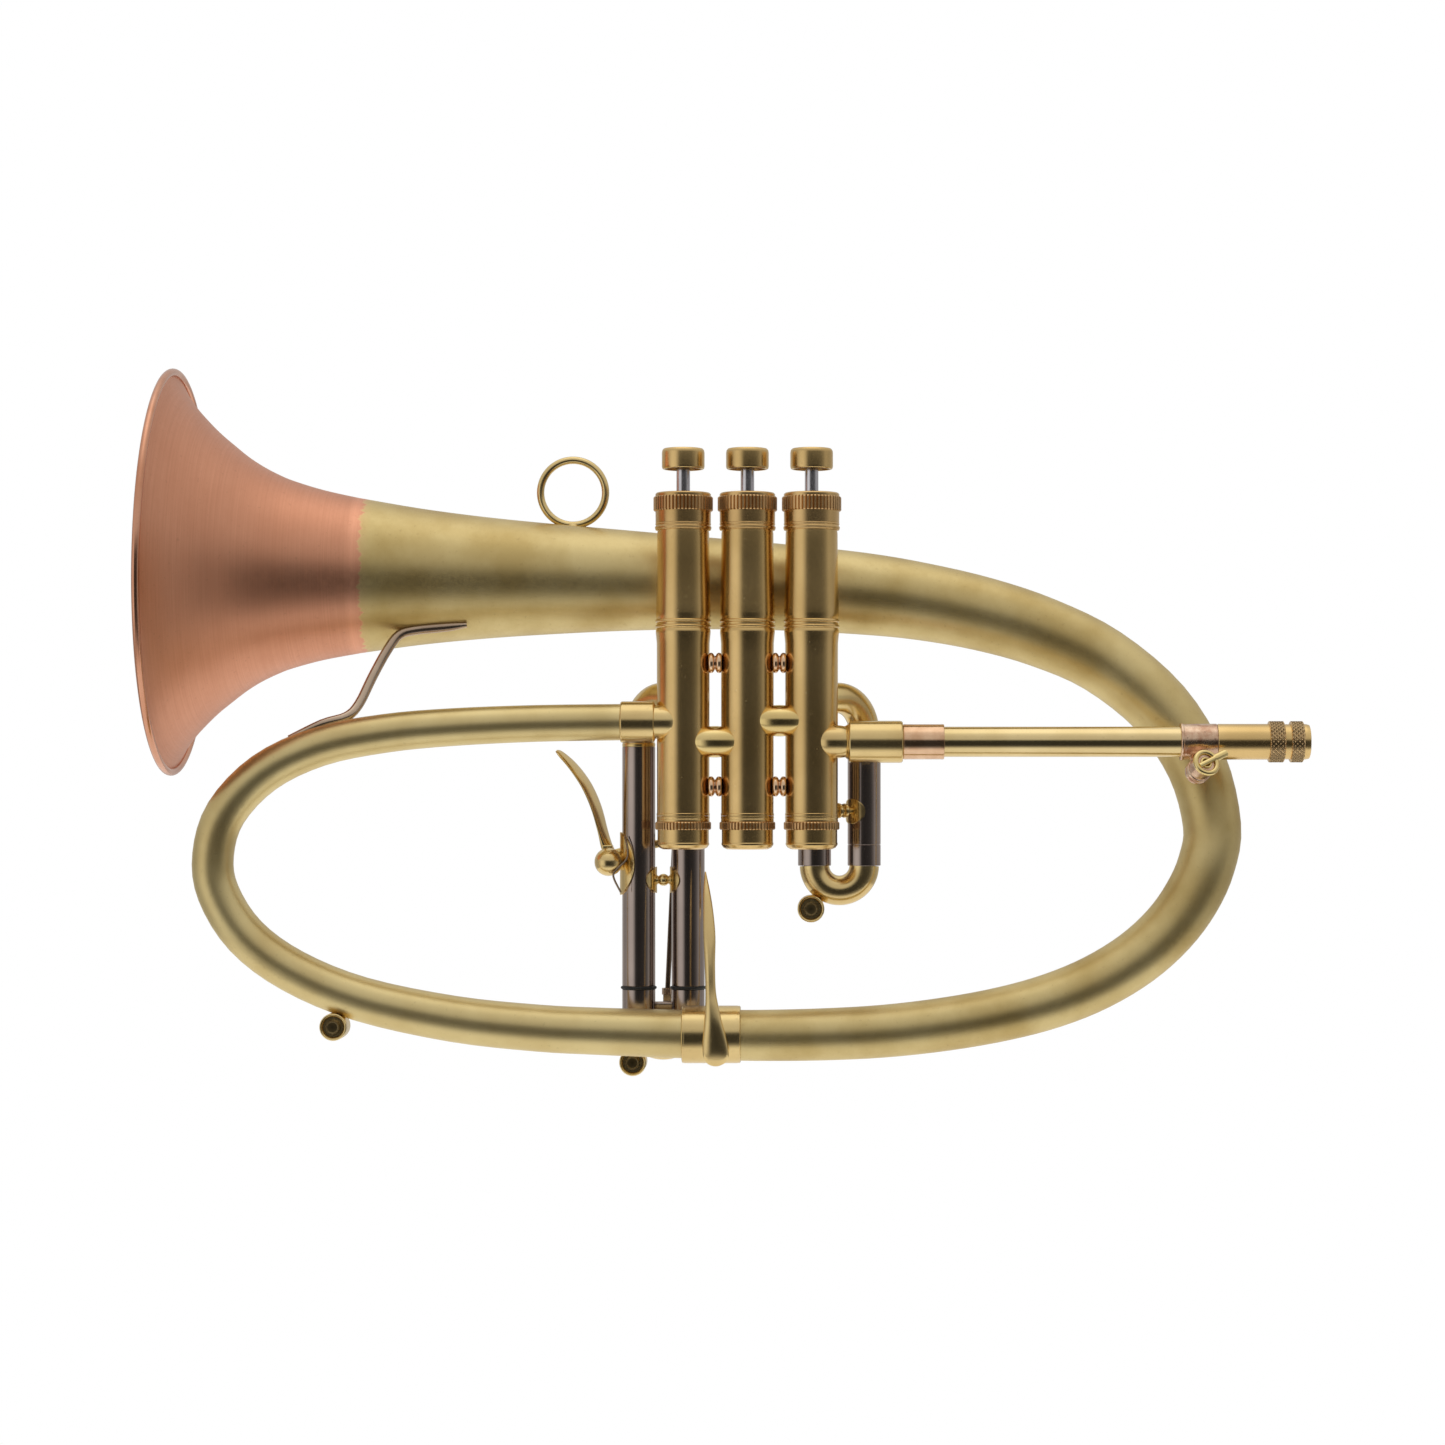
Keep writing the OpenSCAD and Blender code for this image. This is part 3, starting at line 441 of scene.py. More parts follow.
def dress(piece: bpy.types.Object, finish: "MetalFinish", body: str, *nodes: str) -> bpy.types.Object:
    """Gives a new piece its finish and its body, and hides the frame nodes that it stands for."""
    select_only(piece)
    bpy.ops.object.shade_smooth_by_angle(angle=math.radians(finish.crease))
    modified(piece, "WEIGHTED_NORMAL", mode="FACE_AREA", weight=100, keep_sharp=True)
    piece.data.materials.clear()
    piece.data.materials.append(finish.material())
    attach(piece, body)
    if nodes:
        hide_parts(*nodes)
    LOG.info("%s: %s, on %s", piece.name, finish.name, body)
    return piece


def dress_node(node: str, finish: "MetalFinish") -> None:
    """Gives a frame node that stays its finish."""
    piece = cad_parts[node]
    piece.data.materials.clear()
    piece.data.materials.append(finish.material())
    LOG.info("%s: %s", node, finish.name)


# ---- Finishes ----


def linear(colour: Colour) -> tuple[float, float, float, float]:
    """A display colour of 0 to 255 as linear light."""
    parts = [c / 255 for c in colour]
    return (*(c / 12.92 if c <= 0.04045 else ((c + 0.055) / 1.055) ** 2.4 for c in parts), 1.0)


@dataclass
class Graph:
    """A material's node tree with short ways to fill it."""

    tree: bpy.types.NodeTree

    def add(self, kind: str, inputs: dict[str | int, object] | None = None,
        **settings: object) -> bpy.types.Node:
        """Adds a node, sets its options, and links or sets its inputs."""
        made = self.tree.nodes.new(kind)
        for key, value in settings.items():
            setattr(made, key, value)
        for key, value in (inputs or {}).items():
            if isinstance(value, bpy.types.NodeSocket):
                self.tree.links.new(value, made.inputs[key])
            else:
                made.inputs[key].default_value = value
        return made

    def noise(self, where: bpy.types.NodeSocket, scale: float, detail: float = 3) -> bpy.types.NodeSocket:
        """A noise pattern's value."""
        return self.add("ShaderNodeTexNoise",
            {"Vector": where, "Scale": scale, "Detail": detail}).outputs["Fac"]

    def ranged(self, value: bpy.types.NodeSocket, span: tuple[float, float],
        to: tuple[float, float]) -> bpy.types.NodeSocket:
        """A value brought from one range to another, held at its ends."""
        ends = {"Value": value, "From Min": span[0], "From Max": span[1], "To Min": to[0], "To Max": to[1]}
        return self.add("ShaderNodeMapRange", ends).outputs[0]

    def maths(self, operation: str, a: object, b: object = 0.0) -> bpy.types.NodeSocket:
        """One sum on two values."""
        return self.add("ShaderNodeMath", {0: a, 1: b}, operation=operation).outputs[0]

    def mixed(self, share: object, a: object, b: object) -> bpy.types.NodeSocket:
        """Two colours mixed."""
        return self.add("ShaderNodeMix", {0: share, 6: a, 7: b}, data_type="RGBA").outputs[2]


@dataclass(frozen=True)
class MetalFinish:
    """A metal's colour, its cloudy second colour, its satin and its grain."""

    name: str
    slot: str
    light: Colour
    deep: Colour
    smooth: float
    rough: float
    grain: tuple[float, float, float] = (2600, 2600, 2600)
    relief: float = 0.035
    cloud: float = 45
    spots: float = 0.12
    metallic: float = 1.0
    crease: float = 38.0

    def colour(self, graph: Graph, where: bpy.types.NodeSocket) -> bpy.types.NodeSocket:
        """The colour before wear: light and deep in clouds."""
        share = graph.ranged(graph.noise(where, self.cloud, 4), (0.38, 0.66), (0.0, 1.0))
        return graph.mixed(share, linear(self.light), linear(self.deep))

    def material(self) -> bpy.types.Material:
        """The finish as a material, made once."""
        made = bpy.data.materials.get(self.name)
        if made:
            return made
        made = bpy.data.materials.new(self.name)
        made.use_nodes = True
        made.node_tree.nodes.clear()
        graph = Graph(made.node_tree)
        where = graph.add("ShaderNodeTexCoord").outputs["Object"]
        grain = graph.add("ShaderNodeMapping", {"Vector": where, "Scale": self.grain}).outputs[0]
        fine = graph.noise(grain, 1.0, 5)
        fleck = graph.ranged(graph.noise(where, 620, 2), (0.66, 0.74), (0.0, self.spots))
        edge = graph.add("ShaderNodeNewGeometry").outputs["Pointiness"]
        worn = graph.ranged(edge, (0.52, 0.6), (0.0, 0.55))
        base = self.colour(graph, where)
        spotted = graph.mixed(fleck, base, linear(tuple(int(c * 0.62) for c in self.deep)))
        bright = tuple(min(255, int(c * 1.08) + 8) for c in self.light)
        polished = graph.mixed(worn, spotted, linear(bright))
        # Where pointiness falls below about 0.48 (hollows, creases and knurl grooves) the colour is mixed
        # towards a much darker deep colour: partly grime, partly painted shade where less light reaches.
        grime_and_painted_shade = graph.ranged(edge, (0.48, 0.41), (0.0, 0.8))
        shown = graph.mixed(grime_and_painted_shade, polished, linear(tuple(int(c * 0.45) for c in self.deep)))
        matt = graph.ranged(fine, (0.3, 0.7), (self.smooth, self.rough))
        bump = graph.add("ShaderNodeBump", {"Height": fine, "Strength": self.relief, "Distance": 0.00008})
        surface = graph.add("ShaderNodeBsdfPrincipled", {
            "Base Color": shown, "Roughness": graph.maths("ADD", matt, graph.maths("MULTIPLY", fleck, 0.3)),
            "Metallic": self.metallic, "Normal": bump.outputs[0],
        })
        graph.add("ShaderNodeOutputMaterial", {"Surface": surface.outputs[0]})
        return made


@dataclass(frozen=True)
class BellFinish(MetalFinish):
    """The bell's skin: brushed copper up to a fingered seam, and satin brass behind it."""

    brass_light: Colour = (224, 203, 146)
    brass_deep: Colour = (203, 178, 118)
    seam_x: float = -148.6
    finger: float = 3.2
    axis_y: float = 31.0
    axis_z: float = 66.0

    def colour(self, graph: Graph, where: bpy.types.NodeSocket) -> bpy.types.NodeSocket:
        """Copper with brush lines round the bell, then the seam's bright line, then brass."""
        centre = (0.0, -self.axis_y * MM, -self.axis_z * MM)
        local = graph.add("ShaderNodeMapping", {"Vector": where, "Location": centre}).outputs[0]
        parts = graph.add("ShaderNodeSeparateXYZ", {0: local}).outputs
        across = graph.add("ShaderNodeCombineXYZ", {"Y": parts[1], "Z": parts[2]}).outputs[0]
        reach = graph.add("ShaderNodeVectorMath", {0: across}, operation="LENGTH").outputs["Value"]
        lines = graph.add("ShaderNodeCombineXYZ", {
            "X": graph.maths("MULTIPLY", parts[0], 2200.0), "Y": graph.maths("MULTIPLY", reach, 2200.0),
            "Z": graph.maths("MULTIPLY", parts[2], 12.0),
        }).outputs[0]
        brushed = graph.ranged(graph.noise(lines, 1.0, 4), (0.32, 0.68), (0.0, 1.0))
        copper = graph.mixed(graph.maths("MULTIPLY", brushed, 0.45), linear(self.light), linear(self.deep))
        cloudy = graph.ranged(graph.noise(where, self.cloud, 4), (0.4, 0.65), (0.0, 0.35))
        copper = graph.mixed(cloudy, copper, linear(self.deep))
        brass_share = graph.ranged(graph.noise(where, 40, 4), (0.38, 0.66), (0.0, 1.0))
        brass = graph.mixed(brass_share, linear(self.brass_light), linear(self.brass_deep))
        ragged = graph.maths("MULTIPLY", graph.maths("SUBTRACT", graph.noise(across, 420, 4), 0.5),
            self.finger * MM * 2)
        past = graph.maths("SUBTRACT", graph.maths("ADD", parts[0], ragged), self.seam_x * MM)
        joint = graph.mixed(graph.ranged(past, (-0.0002, 0.0002), (0.0, 1.0)), copper, brass)
        line = graph.ranged(graph.maths("ABSOLUTE", past), (0.0001, 0.0006), (0.3, 0.0))
        return graph.mixed(line, joint, linear((236, 206, 150)))


SATIN_BRASS = MetalFinish("SatinBrass", "brass", (229, 209, 153), (216, 193, 136), 0.34, 0.41,
    (4000, 1400, 1400))
SATIN_GOLD = MetalFinish("SatinGoldCasing", "brass", (232, 198, 136), (218, 184, 122), 0.2, 0.26,
    (3000, 3000, 900))
GOLD = MetalFinish("PolishedGold", "polished_brass", (240, 214, 150), (228, 200, 134), 0.13, 0.2)
TUBE_GOLD = MetalFinish("SatinGoldTube", "polished_brass", (235, 208, 148), (222, 193, 134), 0.17, 0.25)
PIPE_BRASS = MetalFinish("LeadpipeBrass", "brass", (238, 214, 160), (226, 200, 144), 0.13, 0.19)
CAP_GOLD = MetalFinish("CapGold", "polished_brass", (226, 190, 132), (208, 172, 114), 0.2, 0.27)
GRIP_BRONZE = MetalFinish("GripBronze", "polished_brass", (220, 188, 140), (194, 160, 114), 0.22, 0.3,
    crease=12)
BAND_BRONZE = MetalFinish("BandBronze", "polished_brass", (214, 174, 122), (186, 146, 98), 0.26, 0.36)
KEY_BRONZE = MetalFinish("KeyBronze", "polished_brass", (176, 156, 112), (140, 120, 82), 0.28, 0.4)
COPPER = MetalFinish("RimCopper", "copper", (226, 168, 138), (208, 146, 114), 0.16, 0.24)
BELL = BellFinish("BellSkin", "copper", (229, 166, 134), (209, 144, 112), 0.38, 0.46, (1500, 500, 500),
    cloud=30)
ROSE = MetalFinish("RoseBrass", "rose", (238, 200, 164), (218, 174, 136), 0.12, 0.2, cloud=160)
WORN_ROSE = MetalFinish("WornRose", "rose", (234, 204, 176), (190, 146, 118), 0.16, 0.3, cloud=260,
    spots=0.6)
NICKEL = MetalFinish("BlackNickel", "black_nickel", (172, 157, 149), (150, 136, 130), 0.12, 0.18,
    spots=0.06)
SILVER = MetalFinish("NickelSilver", "nickel_silver", (208, 186, 164), (180, 154, 132), 0.18, 0.26)
STEEL = MetalFinish("BrushedSteel", "steel", (220, 218, 222), (196, 194, 200), 0.14, 0.22,
    (3000, 3000, 600))
WIRE = MetalFinish("SpringWire", "steel", (150, 134, 118), (112, 96, 82), 0.22, 0.32)
RUBBER = MetalFinish("BlackRubber", "rubber", (30, 32, 34), (18, 20, 22), 0.42, 0.6, relief=0.2,
    metallic=0.0)
FELT = MetalFinish("GreyFelt", "felt", (70, 70, 76), (44, 44, 50), 0.9, 1.0, (2500, 2500, 2500), 0.6,
    metallic=0.0)
PLASTIC = MetalFinish("GuidePlastic", "guide_plastic", (232, 228, 210), (214, 208, 188), 0.35, 0.5,
    metallic=0.0)


# ---- Valves ----


@dataclass
class Valves:
    """Three casings with their caps, spools, crossovers, stems and buttons."""

    casing_r: float = 10.05
    bore_r: float = 8.95
    bottom: float = -28.2
    waist: float = 44.6
    neck: float = 80.7
    top: float = 84.0
    cap_top: float = 95.0
    knurl_sides: int = 200
    button_r: float = 8.15
    button_z: float = 104.0
    barrel_r: float = 6.0
    barrel_y: float = -4.5
    centres: list[Vector] = field(default_factory=list)

    def build(self) -> None:
        """Builds and dresses every valve."""
        self.centres = [spot(f"valve_casing_{k}") for k in (1, 2, 3)]
        self.build_casings()
        self.build_caps()
        self.build_crossovers()
        self.build_spools()
        self.build_pistons()

    def spread(self, first: bpy.types.Object, name: str) -> list[bpy.types.Object]:
        """The first valve's piece and its copies on the other two."""
        rest = [copied(first, f"{name}_{k + 2}", self.centres[k + 1] - self.centres[0]) for k in (0, 1)]
        first.name = first.data.name = f"{name}_1"
        return [first, *rest]

    def axis(self) -> Place:
        """The first valve's axis."""
        return Place((self.centres[0].x, self.centres[0].y, 0))

    def build_casings(self) -> None:
        """Casings: a straight lower tube, two beads at the waist and a slightly swelling upper tube."""
        r, w = self.casing_r, self.waist
        outline = [(self.bore_r, self.bottom), (r + 0.1, self.bottom), (r + 0.1, self.bottom + 0.9),
            (r - 0.05, self.bottom + 1)]
        outline += [(r, w - 12), (r + 0.03, w - 7), (r + 0.25, w - 4.6), (r + 0.42, w - 3),
            (r + 0.4, w - 2.2), (r + 0.15, w - 1.5)]
        outline += bead(r + 0.12, w - 1.2, w, 0.5) + bead(r + 0.08, w + 0.9, w + 2.1, 0.55)
        outline += [(r + 0.2, w + 2.6), (r + 0.38, w + 3.4), (r + 0.4, w + 4.6), (r + 0.34, 52),
            (r + 0.1, 60), (r - 0.06, 70)]
        outline += [(r - 0.12, 79.5), (r - 0.3, self.neck), (r - 0.3, self.top), (self.bore_r, self.top)]
        first = turned("casing", outline, self.axis(), 96, soft=0.08)
        for k, piece in enumerate(self.spread(first, "casing")):
            dress(piece, SATIN_GOLD, "horn", f"valve_casing_{k + 1}")

    def build_caps(self) -> None:
        """Knurled top and bottom caps; the top ones are dished round the stem."""
        top = [(9.4, 80.75), (10.5, 80.75), (10.68, 81), *bead(10.55, 81.2, 82.2, 0.25), (10.45, 82.5)]
        top += [*bead(10.45, 82.7, 83.4, 0.2), (10.55, 83.6), (10.6, 87.9), (10.6, 94.5),
            (10.1, self.cap_top)]
        top += [(9.4, 94.9), (8.7, 93.8)]
        top += [(8.5, 89.6), (3, 89.6), (3, 86.3), (9.4, 86.3)]
        cap = turned("top_cap", top, self.axis(), 96, soft=0.1)
        dress(joined("domed_top_caps", self.spread(cap, "top_cap")), CAP_GOLD, "horn", "top_caps")
        bands = self.spread(self.band(11.35, 88, 93.5, 0.55), "top_band")
        z = self.bottom
        low = [(8.45, z - 0.1), (10.1, z - 0.1), (10.15, z - 1), (10.0, z - 1.2), (10.1, z - 1.5),
            (10.1, z - 2.2)]
        low += [(9.8, z - 2.4), (9.8, z - 10.2)]
        low += [(9.95, z - 10.5), (9.9, z - 11.1), (9.2, z - 12.1), (7.9, z - 12.75), (1.6, z - 12.75),
            (1.6, z - 11.6)]
        low += [(8.45, z - 11.2)]
        cap = turned("bottom_cap", low, self.axis(), 96, soft=0.1)
        dress(joined("turned_bottom_caps", self.spread(cap, "bottom_cap")), SATIN_GOLD, "horn",
            "bottom_caps")
        bands += self.spread(self.band(10.65, z - 5.3, z - 2.3, 0.45), "low_band")
        dress(joined("knurled_bands", bands), BAND_BRONZE, "horn")

    def band(self, radius: float, low: float, high: float, depth: float) -> bpy.types.Object:
        """One straight-knurled band round the first valve's axis, with a bevel at each edge."""
        inner = radius - 0.95
        outline = [(inner, low), (radius - 0.35, low), (radius, low + 0.4), (radius, high - 0.4),
            (radius - 0.35, high)]
        piece = turned("band", [*outline, (inner, high)], self.axis(), self.knurl_sides, soft=0)
        return knurled(piece, self.axis(), low + 0.3, high - 0.3, depth, 2 * math.pi / self.knurl_sides,
            Knurl.STRAIGHT)

    def build_crossovers(self) -> None:
        """Barrel-shaped tubes from valve to valve, cut to the casings' bores."""
        low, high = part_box("crossovers")
        made = []
        for k in (0, 1):
            z = low.z / MM + 5.9 if k else high.z / MM - 5.9
            middle = (self.centres[k].x + self.centres[k + 1].x) / 2
            made.append(barrel("barrel", Vector((middle, self.barrel_y, z)), self.barrel_r, 10.5, 2.0))
        dress(joined("crossovers_pair", made), GOLD, "horn", "crossovers")

    def build_spools(self) -> None:
        """Turned spools of two domed discs between the casings."""
        low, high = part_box("casing_braces")
        half = [(2.4, -2.6), (3.2, -2.5), (3.7, -2.15), (3.9, -1.5), (3.75, -0.95), (3.3, -0.5),
            (2.7, -0.2)]
        outline = [(0, -2.6), *half, *[(r, -h) for r, h in reversed(half)], (0, 2.6)]
        y = (low.y + high.y) / 2 / MM
        first = None
        made = []
        for z in (high.z / MM - 3.8, low.z / MM + 3.8):
            for a, b in pairwise(self.centres):
                at = Vector(((a.x + b.x) / 2, y, z))
                if first is None:
                    first = turned("spool", outline, Place(tuple(at), (1, 0, 0)), 48, Ends.CAPPED, 0)
                    start = at
                    made.append(first)
                else:
                    made.append(copied(first, "spool_copy", at - start))
        dress(joined("casing_spools", made), ROSE, "horn", "casing_braces")

    def build_pistons(self) -> None:
        """Stems and buttons that ride on the pistons, and the finishes of what is inside."""
        r, z = self.button_r, self.button_z
        stem = [(0, 83.8), (2.6, 83.8), (2.6, z + 4.4), (0, z + 4.4)]
        stems = self.spread(turned("stem", stem, self.axis(), 40, Ends.CAPPED, 0.1), "stem")
        top = [(0, z + 7.15), (3.2, z + 7.2), (5.6, z + 7.5), (r - 1.5, z + 7.95), (r - 0.7, z + 7.9),
            (r - 0.15, z + 7.2)]
        side = [(r, z + 6.2), (r, z + 1.1), (r - 0.15, z + 0.35), (r - 0.5, z), (r - 1.2, z),
            (r - 1.4, z + 5.2)]
        under = [(3.8, z + 5.2), (3.8, z + 1), (2.62, z + 1), (2.62, z + 4.5), (0, z + 4.5)]
        buttons = self.spread(turned("button", top + side + under, self.axis(), 72, Ends.CAPPED, 0.2),
            "button")
        for k in (1, 2, 3):
            dress(stems[k - 1], STEEL, f"piston_{k}", f"valve_stem_{k}")
            dress(buttons[k - 1], SATIN_GOLD, f"piston_{k}", f"finger_button_{k}")
            dress_node(f"piston_{k}", SILVER)
            dress_node(f"valve_spring_{k}", STEEL)
        dress_node("cap_felts", FELT)
        dress_node("valve_guides", PLASTIC)


# ---- Leadpipe ----


@dataclass
class Leadpipe:
    """The sliding leadpipe with its receiver, the parts it slides in, and the clamp."""

    pipe_r: float = 5.75
    running: float = 0.05
    receiver_r: float = 6.8
    grip_r: float = 7.85
    grip_sides: int = 112
    grip_row: float = 0.44
    screw_axis: tuple[float, float, float] = (0.3, -0.861, 0.41)
    bar_turn: float = 0.76

    def build(self) -> None:
        """Builds and dresses every part of the leadpipe."""
        self.build_socket()
        self.build_pipe()
        self.build_receiver()
        self.build_clamp()

    def along_x(self, node: str) -> tuple[Place, float]:
        """The axis of a part that lies along X, from its low end, and its length."""
        low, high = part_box(node)
        middle = spot(node)
        return Place((low.x / MM, middle.y, middle.z), (1, 0, 0)), (high.x - low.x) / MM

    def build_socket(self) -> None:
        """The necked socket on the first valve and the copper ferrule beyond it."""
        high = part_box("leadpipe_socket")[1]
        middle = spot("leadpipe_socket")
        start = spot("valve_casing_1").x
        inner = self.pipe_r + self.running
        reach = high.x / MM - start
        outline = [(5.15, 3), (5.9, 3), (5.9, 12.2), (6.1, 13), (6.9, 13.9), (7.5, 14.1), (8, 14.6),
            (8, reach - 1)]
        outline += [(7.85, reach - 0.4), (7.5, reach), (inner, reach), (inner, 16.5), (5.15, 16.5)]
        socket = turned("socket", outline, Place((start, middle.y, middle.z), (1, 0, 0)))
        dome = barrel("dome", Vector((start + 8.8, middle.y - 1.1, middle.z)), 6.3, 8.0, 2.6)
        dress(joined("valve_socket", [socket, dome]), TUBE_GOLD, "horn", "leadpipe_socket")
        place, length = self.along_x("leadpipe_ferrule")
        outline = [(inner, 0), (6.6, 0), (6.75, 0.6), (6.7, 1.4), (6.7, length - 1.4), (6.75, length - 0.6),
            (6.6, length)]
        outline += [(inner, length)]
        dress(turned("copper_ferrule", outline, place), ROSE, "horn", "leadpipe_ferrule")

    def build_pipe(self) -> None:
        """The plain pipe itself."""
        place, length = self.along_x("leadpipe")
        outline = [(4.6, 0), (self.pipe_r, 0), (self.pipe_r, length), (4.6, length)]
        dress(turned("sliding_leadpipe", outline, place), PIPE_BRASS, "mouthpipe", "leadpipe")

    def build_receiver(self) -> None:
        """The receiver with two grip rings in diamond knurl and a rolled lip."""
        place, length = self.along_x("receiver")
        r, g = self.receiver_r, self.grip_r
        outline = [(5.78, 0), (r - 0.2, 0), (r, 0.5), (r, 19.4), (r - 0.1, 19.8), (r - 0.1, 32.8), (r, 33)]
        outline += [(r - 0.1, length - 1.2), (r - 0.4, length - 0.2), (r - 1, length), (5.0, length),
            (5.0, 11.2), (5.78, 11.2)]
        dress(turned("receiver_tube", outline, place, soft=0), SATIN_GOLD, "mouthpipe", "receiver")
        grips = []
        pitch = 2 * math.pi / self.grip_sides
        for low, rows in ((19.6, 13), (27.8, 11)):
            high = low + rows * self.grip_row
            ridges = [(g, low + self.grip_row * (k + 0.5)) for k in range(rows)]
            ring = [(r - 0.15, low), (g - 0.3, low), *ridges, (g - 0.3, high), (r - 0.15, high)]
            grip = turned("grip", ring, place, self.grip_sides, soft=0)
            grips.append(knurled(grip, place, low + 0.1, high - 0.1, 0.6, pitch, Knurl.DIAMOND))
        dress(joined("receiver_grips", grips), GRIP_BRONZE, "mouthpipe")

    def build_clamp(self) -> None:
        """The worn sleeve with its post and boss, and the thumb-screw."""
        length = self.along_x("clamp_sleeve")[1]
        low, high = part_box("clamp_sleeve")
        axis_y, axis_z = spot("leadpipe").y, spot("leadpipe").z
        place = Place((low.x / MM, axis_y, axis_z), (1, 0, 0))
        inner = self.pipe_r + self.running
        outline = [(inner, 0), (6.9, 0), (7.1, 0.35), (7.1, 0.9), (6.85, 1.2), (6.85, length - 0.3),
            (6.7, length)]
        outline += [(inner, length)]
        parts = [turned("sleeve", outline, place)]
        post = [(0, 0), (2.2, 0), (2.2, 6), (2.6, 8.2), (3.4, high.y / MM - axis_y - 5),
            (0, high.y / MM - axis_y - 5)]
        parts.append(turned("post", post, Place((171, axis_y + 5, axis_z), (0, 1, 0)), 40, Ends.CAPPED))
        at = Vector((173, -18, -8.1))
        axis = Vector(self.screw_axis).normalized()
        foot = at - axis * 13
        boss = [(1.8, 0), (3.4, 0.1), (4.3, 0.7), (4.7, 1.6), (4.7, 2.6), (4.5, 2.8), (4.5, 3.4),
            (4.7, 3.6), (4.7, 4.4)]
        boss += [(4.3, 4.7), (4.3, 10.4), (3.9, 10.9), (1.8, 10.9)]
        parts.append(turned("boss", boss, Place(tuple(foot + axis * 2), tuple(axis)), 48))
        parts.append(block("cheek", Vector((168.4, -11.2, -12.4)), Vector((175, -3.4, -5.8)), 1.2))
        dress(joined("clamp", parts), WORN_ROSE, "horn", "clamp_sleeve")
        self.build_screw(at, axis)

    def build_screw(self, at: Vector, axis: Vector) -> None:
        """The thumb-screw: a threaded shank, stacked discs, a ring and a bar across it."""
        thread = [(0, -11)]
        for k in range(11):
            thread += [(1.45, -11 + 0.8 * k), (1.65, -10.6 + 0.8 * k)]
        thread += [(1.5, -2.2), (4.3, -2.0), (4.4, -1.6), (4.3, -1.2), (3.2, -1.1), (3.2, -0.8), (0, -0.8)]
        place = Place(tuple(at), tuple(axis))
        parts = [turned("shank", thread, place, 40, Ends.CAPPED, 0.06)]
        parts.append(turned("thumb_ring", round_wire(4.3, 0, 1.05, 14), place, 48, soft=0))
        parts.append(turned("inner_ring", round_wire(1.9, -0.1, 0.5, 10), place, 36, soft=0))
        base = place.matrix()
        c, s = math.cos(self.bar_turn), math.sin(self.bar_turn)
        ends = [base @ Vector((x * c, x * s, 0.5)) for x in (-3.6, 3.6, 4.4, 9.2, 9.8)]
        sizes = ((2.0, 1.7), (2.0, 1.7), (2.9, 2.2), (2.9, 2.2), (2.5, 1.9))
        bar = [Vector((*p, *s)) for p, s in zip(ends, sizes)]
        parts.append(swept("bar", bar, 16, Ends.CAPPED, axis))
        dress(joined("thumb_screw", parts), GOLD, "clamp_screw", "clamp_screw")


# ---- Bell and wide tubes ----


